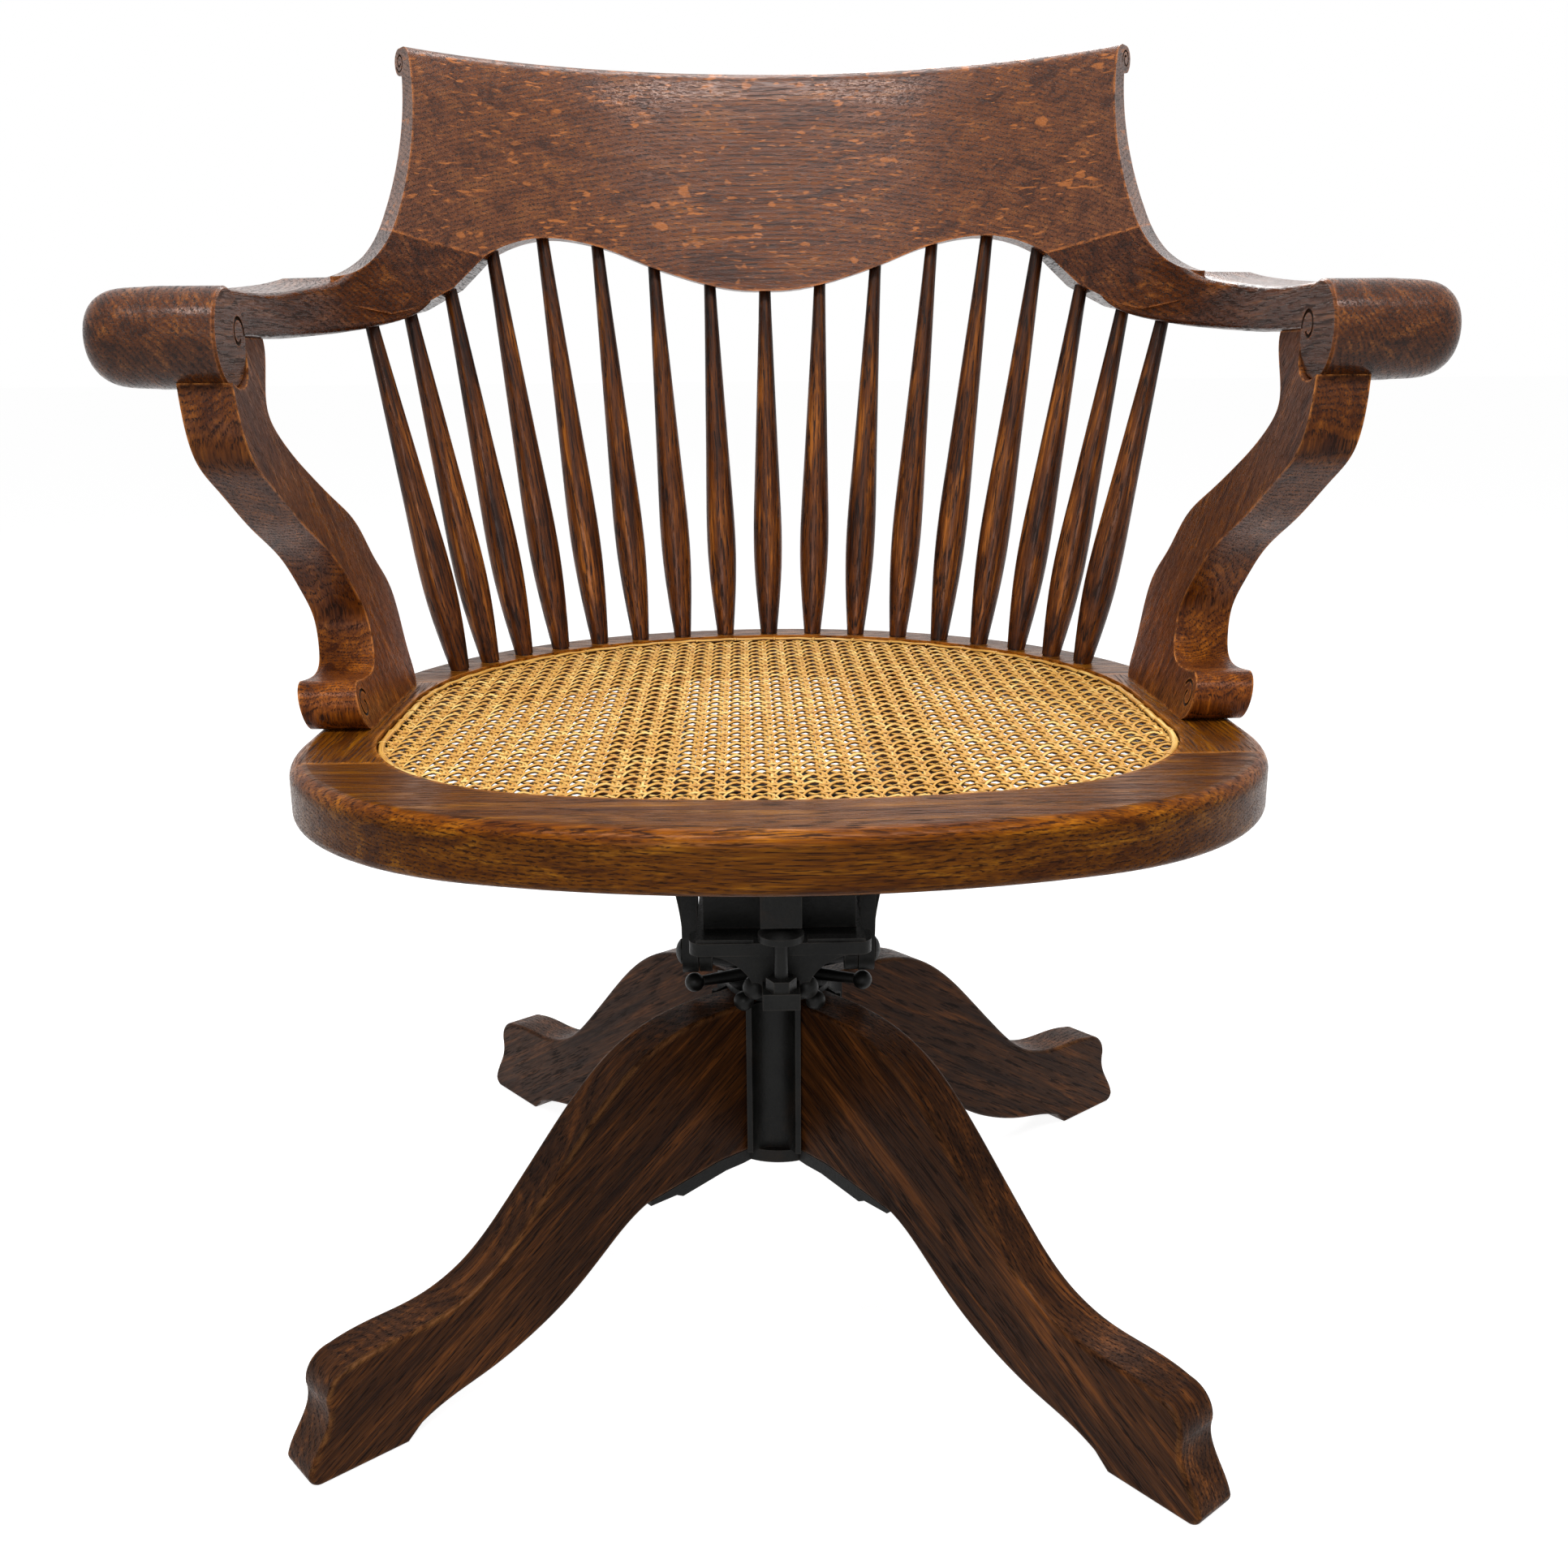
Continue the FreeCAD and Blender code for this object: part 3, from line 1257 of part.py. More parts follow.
for item in parts:
    item.Placement = Placement(Vector(0, -S.frame_shift, 0), Rotation()).multiply(item.Placement)
doc.recompute()
faulty = [item.Label for item in doc.Objects
          if {"Invalid", "Error"} & set(getattr(item, "State", []))]
for item in parts:
    if item.Shape.isNull() or not item.Shape.isValid() or not item.Shape.Solids:
        faulty.append(item.Label)
if faulty:
    raise RuntimeError("these pieces did not build: " + ", ".join(faulty))
os.makedirs("parts", exist_ok=True)
for item in parts:
    item.Shape.exportStep(os.path.join("parts", item.Label + ".step"))
print("pieces", len(parts))
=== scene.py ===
import math
import bmesh
import bpy
import numpy as np
from mathutils import Matrix, Vector


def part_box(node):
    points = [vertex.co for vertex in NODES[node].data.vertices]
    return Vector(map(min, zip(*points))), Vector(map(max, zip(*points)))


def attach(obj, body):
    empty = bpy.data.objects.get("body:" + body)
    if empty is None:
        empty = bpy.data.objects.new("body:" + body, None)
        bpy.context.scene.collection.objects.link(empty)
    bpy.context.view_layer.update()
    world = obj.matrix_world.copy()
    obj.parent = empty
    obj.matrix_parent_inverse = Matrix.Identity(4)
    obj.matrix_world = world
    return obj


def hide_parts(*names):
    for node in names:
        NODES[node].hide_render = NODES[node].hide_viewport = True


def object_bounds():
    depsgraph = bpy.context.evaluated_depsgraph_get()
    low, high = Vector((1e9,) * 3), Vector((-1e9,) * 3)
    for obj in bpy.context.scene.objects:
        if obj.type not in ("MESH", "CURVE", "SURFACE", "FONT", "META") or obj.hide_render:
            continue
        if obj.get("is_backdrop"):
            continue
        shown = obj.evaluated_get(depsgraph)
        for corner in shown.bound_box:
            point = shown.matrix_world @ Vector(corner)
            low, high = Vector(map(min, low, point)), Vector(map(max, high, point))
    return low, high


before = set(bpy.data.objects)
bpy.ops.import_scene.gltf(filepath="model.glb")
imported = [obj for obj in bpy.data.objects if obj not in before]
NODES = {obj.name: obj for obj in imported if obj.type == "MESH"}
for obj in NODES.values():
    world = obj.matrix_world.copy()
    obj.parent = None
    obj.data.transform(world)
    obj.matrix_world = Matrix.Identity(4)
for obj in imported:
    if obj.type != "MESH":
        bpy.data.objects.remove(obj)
CAD_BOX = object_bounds()
MM = 0.001
# The drawing's origin lies on the swivel axis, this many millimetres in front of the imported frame's
BACKSET = 38.0


def place(x, y, z):
    """A point of the design drawing, in millimetres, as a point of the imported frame, in metres."""
    return Vector((x * MM, (y - BACKSET) * MM, z * MM))


# Node helpers
class Graph:
    """A material's node tree, with short calls for the nodes that repeat."""

    def __init__(self, name):
        self.material = bpy.data.materials.new(name)
        self.material.use_nodes = True
        self.tree = self.material.node_tree
        self.shader = self.tree.nodes["Principled BSDF"]

    def node(self, kind, **settings):
        made = self.tree.nodes.new(kind)
        for key, value in settings.items():
            setattr(made, key, value)
        return made

    def link(self, source, target):
        self.tree.links.new(source, target)

    def feed(self, socket, value):
        if isinstance(value, bpy.types.NodeSocket):
            self.link(value, socket)
        else:
            socket.default_value = value

    def math(self, operation, first, second=0.5):
        made = self.node("ShaderNodeMath", operation=operation)
        self.feed(made.inputs[0], first)
        self.feed(made.inputs[1], second)
        return made.outputs[0]

    def ramp(self, value, low, high, start=0.0, end=1.0):
        made = self.node("ShaderNodeMapRange", interpolation_type="SMOOTHSTEP")
        for socket, item in zip(made.inputs, (value, low, high, start, end)):
            self.feed(socket, item)
        return made.outputs[0]

    def mix(self, share, first, second, blend="MIX"):
        made = self.node("ShaderNodeMix", data_type="RGBA", blend_type=blend)
        self.feed(made.inputs[0], share)
        self.feed(made.inputs[6], first)
        self.feed(made.inputs[7], second)
        return made.outputs[2]

    def noise(self, vector, scale, detail=3.0, rough=0.55, twist=0.0):
        made = self.node("ShaderNodeTexNoise")
        self.link(vector, made.inputs["Vector"])
        made.inputs["Scale"].default_value = scale
        made.inputs["Detail"].default_value = detail
        made.inputs["Roughness"].default_value = rough
        made.inputs["Distortion"].default_value = twist
        return made.outputs["Fac"]

    def stretched(self, vector, sizes):
        """The vector divided by the sizes, in metres, of one feature along each of its axes."""
        made = self.node("ShaderNodeVectorMath", operation="DIVIDE")
        self.link(vector, made.inputs[0])
        made.inputs[1].default_value = sizes
        return made.outputs[0]

    def spread(self, vector, sizes, detail=3.0, rough=0.55, twist=0.0):
        """Noise whose features have the given sizes, in metres, along the vector's axes."""
        return self.noise(self.stretched(vector, sizes), 1.0, detail, rough, twist)

    def worn_edge(self, radius, low, high):
        """1 on convex and concave edges, 0 on open surface."""
        bevel = self.node("ShaderNodeBevel", samples=4)
        bevel.inputs["Radius"].default_value = radius
        geometry = self.node("ShaderNodeNewGeometry")
        dot = self.node("ShaderNodeVectorMath", operation="DOT_PRODUCT")
        self.link(bevel.outputs["Normal"], dot.inputs[0])
        self.link(geometry.outputs["Normal"], dot.inputs[1])
        return self.ramp(dot.outputs["Value"], low, high, 1.0, 0.0)

    def bump(self, height, distance, strength=1.0, before=None):
        made = self.node("ShaderNodeBump")
        made.inputs["Distance"].default_value = distance
        made.inputs["Strength"].default_value = strength
        self.link(height, made.inputs["Height"])
        if before is not None:
            self.link(before, made.inputs["Normal"])
        return made.outputs["Normal"]


def colour(red, green, blue):
    """A display colour, 0 to 255, as the linear colour that a shader takes."""
    def linear(part):
        part /= 255
        return part / 12.92 if part <= 0.04045 else ((part + 0.055) / 1.055) ** 2.4
    return (linear(red), linear(green), linear(blue), 1.0)


def dimmed(base, gain):
    """The colour with its light multiplied by the gain."""
    return tuple(part * gain for part in base[:3]) + (1.0,)


# Oak
SEED_SHIFT = (0.731, 0.413, 0.917)
# Sizes of the wood's features in metres: along the grain, across the face and into the wood
BEND = (0.22, 0.06, 0.06)
SHAKE = (0.05, 0.006, 0.006)
FIGURE = (0.12, 0.010, 0.010)
STREAK = (0.06, 0.0016, 0.0016)
PORE = (0.013, 0.00085, 0.00085)
RAY = (0.010, 0.0026, 0.02)
RAY_CROWD = (0.05, 0.03, 0.03)
BROAD_RAY = (0.016, 0.011, 0.03)
RUB = (0.02, 0.005, 0.005)
SURFACE_WAVE = (0.04, 0.010, 0.010)
SHAKE_DEPTH = 0.0014
WAVE_DEPTH = 0.0008
PORE_DEPTH = 0.00022
PLAIN_ROUGHNESS = (0.40, 0.30)


def grain_frame(graph, grain, across, seed):
    """Object space turned so that X runs with the grain and Y across the face, moved by the seed."""
    along = Vector(grain).normalized()
    third = along.cross(Vector(across)).normalized()
    second = third.cross(along)
    turn = Matrix((along, second, third)).transposed()
    coords = graph.node("ShaderNodeTexCoord")
    made = graph.node("ShaderNodeMapping", vector_type="TEXTURE")
    made.inputs["Rotation"].default_value = turn.to_euler()
    made.inputs["Location"].default_value = tuple(seed * part for part in SEED_SHIFT)
    graph.link(coords.outputs["Object"], made.inputs["Vector"])
    return made.outputs["Vector"]


def position(graph, axis):
    """One coordinate of the object's own space, or its size without its sign for ax and ay."""
    parts = graph.node("ShaderNodeSeparateXYZ")
    graph.link(graph.node("ShaderNodeTexCoord").outputs["Object"], parts.inputs[0])
    value = parts.outputs["xyz".index(axis[-1])]
    return graph.math("ABSOLUTE", value) if axis[0] == "a" else value


def early_wood(graph, field, bend, seed, rings, pith, sway):
    """1 in the porous band of each growth ring, 0 in late wood; rings stand round a wandering pith."""
    shake = graph.spread(field, SHAKE)
    offset = graph.node("ShaderNodeVectorMath", operation="MULTIPLY_ADD")
    graph.link(field, offset.inputs[0])
    offset.inputs[1].default_value = (0.0, 1.0, 1.0)
    offset.inputs[2].default_value = (0.0, pith[0] - seed * SEED_SHIFT[1], pith[1] - seed * SEED_SHIFT[2])
    reach = graph.node("ShaderNodeVectorMath", operation="LENGTH")
    graph.link(offset.outputs[0], reach.inputs[0])
    radius = graph.math("ADD", reach.outputs["Value"], graph.math("MULTIPLY", bend, sway))
    radius = graph.math("ADD", radius, graph.math("MULTIPLY", shake, SHAKE_DEPTH))
    phase = graph.math("FRACT", graph.math("DIVIDE", radius, rings))
    return graph.math("MULTIPLY", graph.ramp(phase, 0.0, 0.12), graph.ramp(phase, 0.2, 0.75, 1.0, 0.0))


def ray_flecks(graph, field):
    """1 on the short pale dashes and broad patches that quarter-sawn oak shows."""
    dash = graph.spread(field, RAY, 1.5, 0.45)
    crowd = graph.spread(field, RAY_CROWD, 2.0)
    share = graph.math("MULTIPLY", graph.ramp(dash, 0.61, 0.69), graph.ramp(crowd, 0.40, 0.60))
    broad = graph.spread(field, BROAD_RAY, 2.0, 0.5)
    return graph.math("MAXIMUM", share, graph.ramp(broad, 0.66, 0.72, 0.0, 0.8))


def oak(name, grain, across, seed, wood, rings=0.0026, pith=(0.05, 0.09), fleck=0.0, wear=1.0, rim=0.0022,
        tints=(), gloss=0.0, sway=0.03, ringed=0.34, shine=0.1):
    """Stained and varnished oak: ring-porous figure cut from a log, pores, flecks, worn edges, bump.

    Each of the tints (axis, start, end, gain) multiplies the colour by the gain, from none at the
    start to all of it at the end. Gloss lowers the roughness, and shine is the specular level.
    """
    graph = Graph(name)
    dark, middle, light, rubbed = wood
    field = grain_frame(graph, grain, across, seed)
    bend = graph.spread(field, BEND, 2.0)
    early = early_wood(graph, field, bend, seed, rings, pith, sway)
    figure = graph.spread(field, FIGURE, 4.0, 0.6, 0.8)
    streak = graph.spread(field, STREAK, 3.0, 0.6)
    tone = graph.math("ADD", graph.math("MULTIPLY", figure, 0.65), graph.math("MULTIPLY", streak, 0.35))
    body = graph.mix(graph.ramp(tone, 0.36, 0.52), dark, middle)
    body = graph.mix(graph.ramp(tone, 0.50, 0.66), body, light)
    body = graph.mix(graph.math("MULTIPLY", early, ringed), body, dark)
    pore = graph.spread(field, PORE, 2.0, 0.5)
    crowd = graph.math("ADD", graph.math("MULTIPLY", early, 0.55), 0.36)
    hole = graph.math("MULTIPLY", graph.ramp(pore, 0.43, 0.52, 1.0, 0.0), crowd)
    body = graph.mix(hole, body, dimmed(dark, 0.25))
    if fleck:
        body = graph.mix(graph.math("MULTIPLY", ray_flecks(graph, field), fleck), body, rubbed)
    for axis, start, end, gain in tints:
        cloud = graph.math("MULTIPLY", graph.math("SUBTRACT", bend, 0.5), (end - start) * 1.2)
        share = graph.ramp(graph.math("ADD", position(graph, axis), cloud), start, end)
        body = graph.mix(share, body, gain + (1.0,), "MULTIPLY")
    if wear:
        rub = graph.spread(field, RUB, 4.0, 0.65)
        share = graph.math("MULTIPLY", graph.worn_edge(rim, 0.90, 0.99), graph.ramp(rub, 0.38, 0.60))
        body = graph.mix(graph.math("MULTIPLY", share, wear), body, rubbed)
    graph.link(body, graph.shader.inputs["Base Color"])
    dull, bright = (level - gloss for level in PLAIN_ROUGHNESS)
    rough = graph.math("ADD", graph.ramp(tone, 0.3, 0.7, dull, bright), graph.math("MULTIPLY", hole, 0.3))
    graph.link(rough, graph.shader.inputs["Roughness"])
    graph.shader.inputs["Specular IOR Level"].default_value = shine
    relief = graph.bump(graph.spread(field, SURFACE_WAVE, 2.0), WAVE_DEPTH, 0.45)
    relief = graph.bump(hole, -PORE_DEPTH, 0.6, relief)
    graph.link(relief, graph.shader.inputs["Normal"])
    return graph.material


def palette(dark, middle, light, rubbed):
    """The wood's colours: dark and pores, body, light streaks, and bare or worn wood."""
    return (colour(*dark), colour(*middle), colour(*light), colour(*rubbed))


CREST_WOOD = palette((66, 34, 19), (114, 65, 37), (142, 87, 46), (196, 118, 58))
SEAT_WOOD = palette((66, 31, 4), (108, 60, 8), (150, 94, 20), (186, 116, 44))
ARM_WOOD = palette((44, 20, 8), (88, 46, 20), (134, 80, 36), (176, 104, 52))
SUPPORT_WOOD = palette((62, 28, 8), (110, 60, 20), (158, 94, 32), (204, 128, 62))
SPINDLE_WOOD = palette((40, 18, 8), (98, 52, 20), (166, 98, 38), (176, 106, 48))
LEG_WOOD = palette((40, 20, 9), (74, 42, 19), (124, 72, 32), (184, 124, 70))


# Metals
def iron(name, base, shine, seed, worn=0.4):
    """Black japanned cast iron: sand-cast grain, pits, rust bloom, and brown-grey rubbed edges."""
    graph = Graph(name)
    coords = graph.node("ShaderNodeTexCoord").outputs["Object"]
    moved = graph.node("ShaderNodeVectorMath", operation="ADD")
    graph.link(coords, moved.inputs[0])
    moved.inputs[1].default_value = (seed, seed * 0.7, seed * 0.3)
    field = moved.outputs[0]
    grit = graph.noise(field, 700.0, 4.0, 0.65)
    cloud = graph.noise(field, 45.0, 4.0, 0.6)
    body = graph.mix(graph.ramp(cloud, 0.35, 0.7), base, dimmed(base, 2.3))
    bloom = graph.ramp(graph.noise(field, 18.0, 5.0, 0.7), 0.58, 0.74)
    body = graph.mix(graph.math("MULTIPLY", bloom, 0.5), body, colour(44, 34, 27))
    pale = graph.math("MULTIPLY", graph.worn_edge(0.0012, 0.88, 0.99), graph.ramp(cloud, 0.3, 0.6))
    body = graph.mix(graph.math("MULTIPLY", pale, worn), body, colour(84, 78, 72))
    graph.link(body, graph.shader.inputs["Base Color"])
    graph.link(graph.ramp(grit, 0.3, 0.7, shine - 0.08, shine + 0.14), graph.shader.inputs["Roughness"])
    graph.shader.inputs["Specular IOR Level"].default_value = 0.14
    relief = graph.bump(cloud, 0.0010, 0.45)
    relief = graph.bump(grit, 0.0003, 0.6, relief)
    graph.link(relief, graph.shader.inputs["Normal"])
    return graph.material


def steel(name, base, seed):
    """Oiled dark steel with turning marks and tarnish."""
    graph = Graph(name)
    coords = graph.node("ShaderNodeTexCoord").outputs["Object"]
    field = graph.stretched(coords, (0.02, 0.02, 0.0006))
    lines = graph.noise(field, 1.0 + seed, 2.0)
    cloud = graph.noise(coords, 60.0 + seed, 3.0)
    body = graph.mix(graph.ramp(cloud, 0.35, 0.65), base, dimmed(base, 0.45))
    graph.link(body, graph.shader.inputs["Base Color"])
    graph.shader.inputs["Metallic"].default_value = 0.9
    graph.link(graph.ramp(cloud, 0.3, 0.7, 0.32, 0.5), graph.shader.inputs["Roughness"])
    graph.link(graph.bump(lines, 0.0001, 0.5), graph.shader.inputs["Normal"])
    return graph.material


def thread(name, base, pitch):
    """Oiled steel with a helical screw thread about the chair's upright axis."""
    graph = Graph(name)
    parts = graph.node("ShaderNodeSeparateXYZ")
    graph.link(graph.node("ShaderNodeTexCoord").outputs["Object"], parts.inputs[0])
    aside = graph.math("ADD", parts.outputs[1], BACKSET * MM)
    turn = graph.math("DIVIDE", graph.math("ARCTAN2", aside, parts.outputs[0]), 2 * math.pi)
    climb = graph.math("ADD", graph.math("DIVIDE", parts.outputs[2], pitch), turn)
    ridge = graph.math("PINGPONG", climb, 0.5)
    cloud = graph.noise(graph.node("ShaderNodeTexCoord").outputs["Object"], 70.0, 3.0)
    body = graph.mix(graph.ramp(ridge, 0.05, 0.3), dimmed(base, 0.3), base)
    body = graph.mix(graph.ramp(cloud, 0.45, 0.7, 0.0, 0.6), body, colour(52, 38, 28))
    graph.link(body, graph.shader.inputs["Base Color"])
    graph.shader.inputs["Metallic"].default_value = 0.85
    graph.link(graph.ramp(cloud, 0.3, 0.7, 0.3, 0.48), graph.shader.inputs["Roughness"])
    graph.link(graph.bump(ridge, 0.0035, 1.0), graph.shader.inputs["Normal"])
    return graph.material


def dress(node, material):
    """Gives a CAD node its material."""
    made = NODES[node]
    made.data.materials.clear()
    made.data.materials.append(material)


BLACK = colour(13, 13, 12)
THREAD_PITCH = 0.006
iron_plate = iron("iron_plate", BLACK, 0.38, 0.3)
iron_wheel = iron("iron_wheel", BLACK, 0.36, 1.7)
iron_yoke = iron("iron_yoke", BLACK, 0.44, 3.1)
dark_steel = steel("dark_steel", colour(66, 63, 59), 0.2)
spring_steel = steel("spring_steel", colour(48, 46, 44), 0.7)
for node in ("corner_plate_front", "corner_plate_left", "corner_plate_right", "corner_plate_back"):
    dress(node, iron_plate)
for node in ("spider_plate", "hub_sleeve", "stop_post"):
    dress(node, iron_plate)
dress("hand_wheel", iron_wheel)
for node in ("yoke_casting", "tilt_iron", "stop_nut", "pivot_bolt_left", "pivot_bolt_right"):
    dress(node, iron_yoke)
for node in ("spider_screws", "iron_screws", "batten_screws", "support_screws"):
    dress(node, dark_steel)
for node in ("retaining_washer", "retaining_nut"):
    dress(node, dark_steel)
dress("lift_screw", thread("screw_thread", colour(92, 88, 82), THREAD_PITCH))
for node in ("spring_left", "spring_right"):
    dress(node, spring_steel)

# Legs: the grain runs down the leg from the hub to the toe
LEG_TURNS = {"leg_front_left": 219.6, "leg_front_right": 309.6}
LEG_TURNS.update({"leg_back_right": 39.6, "leg_back_left": 129.6})
LEG_FALL = 0.62
for number, (node, turn) in enumerate(LEG_TURNS.items()):
    out = Vector((math.cos(math.radians(turn)), math.sin(math.radians(turn)), 0))
    side = out.cross(Vector((0, 0, 1)))
    grain = out + Vector((0, 0, -LEG_FALL))
    dress(node, oak("oak_" + node, grain, side, 1.3 + number, LEG_WOOD, rings=0.0034, pith=(0.03, 0.05),
                    rim=0.003, shine=0.06))

# Seat and battens: the rails' rims are worn pale, and painted shade darkens the front rail towards its ends
RIM_TINTS = [("z", 0.376, 0.3805, (1.5, 1.34, 1.15)), ("z", 0.3834, 0.3838, (0.67, 0.75, 0.87))]
# Painted shade: the front rail's colour darkens towards its ends, where the rail turns away from the light
FRONT_PAINTED_SHADE = [("ax", 0.12, 0.24, (0.80, 0.78, 0.78))]
SEAT_GRAINS = {"seat_rail_front": (1, 0, 0), "seat_rail_back": (1, 0, 0)}
SEAT_GRAINS.update({"seat_rail_left": (0, 1, 0), "seat_rail_right": (0, 1, 0)})
for number, (node, grain) in enumerate(SEAT_GRAINS.items()):
    tints = (FRONT_PAINTED_SHADE if node.endswith("front") else []) + RIM_TINTS
    dress(node, oak("oak_" + node, grain, (0, 0, 1), 6.1 + number, SEAT_WOOD, rings=0.0024, pith=(0.02, 0.12),
                    rim=0.005, tints=tints, gloss=0.10, shine=0.07))
for node in ("batten_left", "batten_right"):
    dress(node, oak("oak_" + node, (0, 1, 0), (1, 0, 0), 11.0, LEG_WOOD))

# Spindles: painted shade darkens them under the crest, and their colour is darker towards their feet
SPINDLES = 17
SPINDLE_TURN = 8.15
SPINDLE_LEAN = 0.235
for number in range(1, SPINDLES + 1):
    turn = math.radians(SPINDLE_TURN * (number - (SPINDLES + 1) // 2))
    lean = (SPINDLE_LEAN * math.sin(turn), SPINDLE_LEAN * math.cos(turn), 1.0)
    node = f"spindle_{number:02d}"
    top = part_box(node)[1][2]
    # Painted shade at the tops under the crest, and a darker colour towards the feet
    shade = [("z", top - 0.09, top - 0.03, (0.36, 0.33, 0.33)), ("z", 0.425, 0.385, (0.62, 0.55, 0.5))]
    pith = (0.006 + 0.002 * (number % 4), 0.012)
    dress(node, oak("oak_" + node, lean, (1, 0, 0), 20 + number * 1.37, SPINDLE_WOOD, rings=0.0030, pith=pith,
                    wear=0.0, tints=shade, gloss=0.08, shine=0.16))

# Crest, arms and supports
dress("arm_dowels", oak("oak_dowels", (1, 0, 0), (0, 1, 0), 50.0, ARM_WOOD, wear=0.0))
crest_oak = oak("oak_crest", (1, 0, 0), (0, 0, 1), 55.0, CREST_WOOD, rings=0.0030, pith=(0.02, 0.30),
                fleck=0.7, rim=0.003, sway=0.012, ringed=0.3, shine=0.30, gloss=0.10)
ARM_TINTS = [("z", 0.635, 0.66, (0.8, 0.74, 0.70)), ("z", 0.596, 0.612, (1.14, 1.12, 1.1))]
SUPPORT_TINTS = [("z", 0.50, 0.41, (1.25, 1.1, 0.85)), ("z", 0.50, 0.58, (0.66, 0.6, 0.62))]
arm_oak = {}
support_oak = {}
for number, side in enumerate(("left", "right")):
    arm_oak[side] = oak("oak_arm_" + side, (0, 1, 0), (0, 0, 1), 60.0 + number, ARM_WOOD, rings=0.0030,
                        pith=(0.03, 0.06), tints=ARM_TINTS, gloss=0.16, shine=0.20)
    support_oak[side] = oak("oak_support_" + side, (0, -0.35, 1), (0, 1, 0), 64.0 + number, SUPPORT_WOOD,
                            pith=(0.03, 0.05), tints=SUPPORT_TINTS, gloss=0.06, shine=0.12)


# Carved lines: a groove of round section is cut into a copy of the solid's mesh.
# Places and sizes are in millimetres of the drawing, starts and sweeps in degrees
HAND_FACE_X = 280.1
HAND_CURL = {"centre": (-101.5, 602.5), "start": -6, "sweep": 330, "wide": 9.6, "narrow": 4.0}
HAND_GROOVE = 1.1
FOOT_HEIGHT = 384
FOOT_FACE_X = 234.5
FOOT_FACE_LEAN = math.tan(math.radians(12.4))
FOOT_BACK_X = 268.3
FOOT_BACK_LEAN = math.tan(math.radians(10.9))
FOOT_CURL = {"centre": (-69, 398), "start": 30, "sweep": 400, "wide": 9.5, "narrow": 2.4}
FOOT_GROOVE = 0.95
ROLL_END = (253.4, 229.6, 789.2)
ROLL_NORMAL = Vector((0.848, -0.530, 0.085)).normalized()
ROLL_START = 200
ROLL_SWEEP = 500
ROLL_WIDE = 6.6
ROLL_NARROW = 2.0
ROLL_GROOVE = 0.8
SHARP_ANGLE = math.radians(32)


def swept_tube(name, points, normal, radius, sides=8):
    """Closed mesh tube along the points, its section square to them."""
    normal = Vector(normal).normalized()
    mesh = bmesh.new()
    rings = []
    last = len(points) - 1
    for step, point in enumerate(points):
        ahead = (points[min(step + 1, last)] - points[max(step - 1, 0)]).normalized()
        side = ahead.cross(normal).normalized()
        up = side.cross(ahead)
        ring = []
        for corner in range(sides):
            turn = 2 * math.pi * corner / sides
            ring.append(mesh.verts.new(point + (side * math.cos(turn) + up * math.sin(turn)) * radius))
        rings.append(ring)
    for first, second in zip(rings, rings[1:]):
        for corner in range(sides):
            after = (corner + 1) % sides
            mesh.faces.new((first[corner], first[after], second[after], second[corner]))
    mesh.faces.new(rings[0][::-1])
    mesh.faces.new(rings[-1])
    bmesh.ops.recalc_face_normals(mesh, faces=mesh.faces)
    data = bpy.data.meshes.new(name)
    mesh.to_mesh(data)
    mesh.free()
    return data


def spiral(centre, start, sweep, wide, narrow, lay, steps=48):
    """Points of a spiral; lay turns its two coordinates, in millimetres, into a point of the frame."""
    points = []
    for step in range(steps + 1):
        share = step / steps
        turn = math.radians(start + sweep * share)
        reach = wide + (narrow - wide) * share
        points.append(lay(centre[0] + reach * math.cos(turn), centre[1] + reach * math.sin(turn)))
    return points


def groove_wood():
    """Dark brown colour, mottled, given to the faces of the carved lines."""
    graph = Graph("groove_wood")
    groove_mottle = graph.noise(graph.node("ShaderNodeTexCoord").outputs["Object"], 400.0, 3.0)
    body = graph.mix(graph.ramp(groove_mottle, 0.35, 0.65), colour(20, 12, 7), colour(48, 27, 14))
    graph.link(body, graph.shader.inputs["Base Color"])
    graph.shader.inputs["Roughness"].default_value = 0.6
    graph.shader.inputs["Specular IOR Level"].default_value = 0.1
    return graph.material


GROOVE = groove_wood()


def carved(node, body, material, tubes):
    """A copy of a CAD node with grooves cut into it, riding where the node rides."""
    made = bpy.data.objects.new(node + "_carved", NODES[node].data.copy())
    bpy.context.scene.collection.objects.link(made)
    made.data.materials.clear()
    made.data.materials.append(material)
    joined = bmesh.new()
    for data in tubes:
        joined.from_mesh(data)
    cutter_mesh = bpy.data.meshes.new(node + "_grooves")
    joined.to_mesh(cutter_mesh)
    joined.free()
    cutter_mesh.materials.append(GROOVE)
    cutter = bpy.data.objects.new(node + "_grooves", cutter_mesh)
    bpy.context.scene.collection.objects.link(cutter)
    cut = made.modifiers.new("grooves", "BOOLEAN")
    cut.operation = "DIFFERENCE"
    cut.solver = "EXACT"
    cut.material_mode = "TRANSFER"
    cut.object = cutter
    bpy.context.view_layer.update()
    result = bpy.data.meshes.new_from_object(made.evaluated_get(bpy.context.evaluated_depsgraph_get()))
    # The cut leaves the normals that came with the solid wrong, so they are made anew
    for label in ("custom_normal", "sharp_face", "sharp_edge"):
        if label in result.attributes:
            result.attributes.remove(result.attributes[label])
    result.shade_smooth()
    result.set_sharp_from_angle(angle=SHARP_ANGLE)
    made.modifiers.clear()
    made.data = result
    bpy.data.objects.remove(cutter)
    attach(made, body)
    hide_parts(node)
    return made


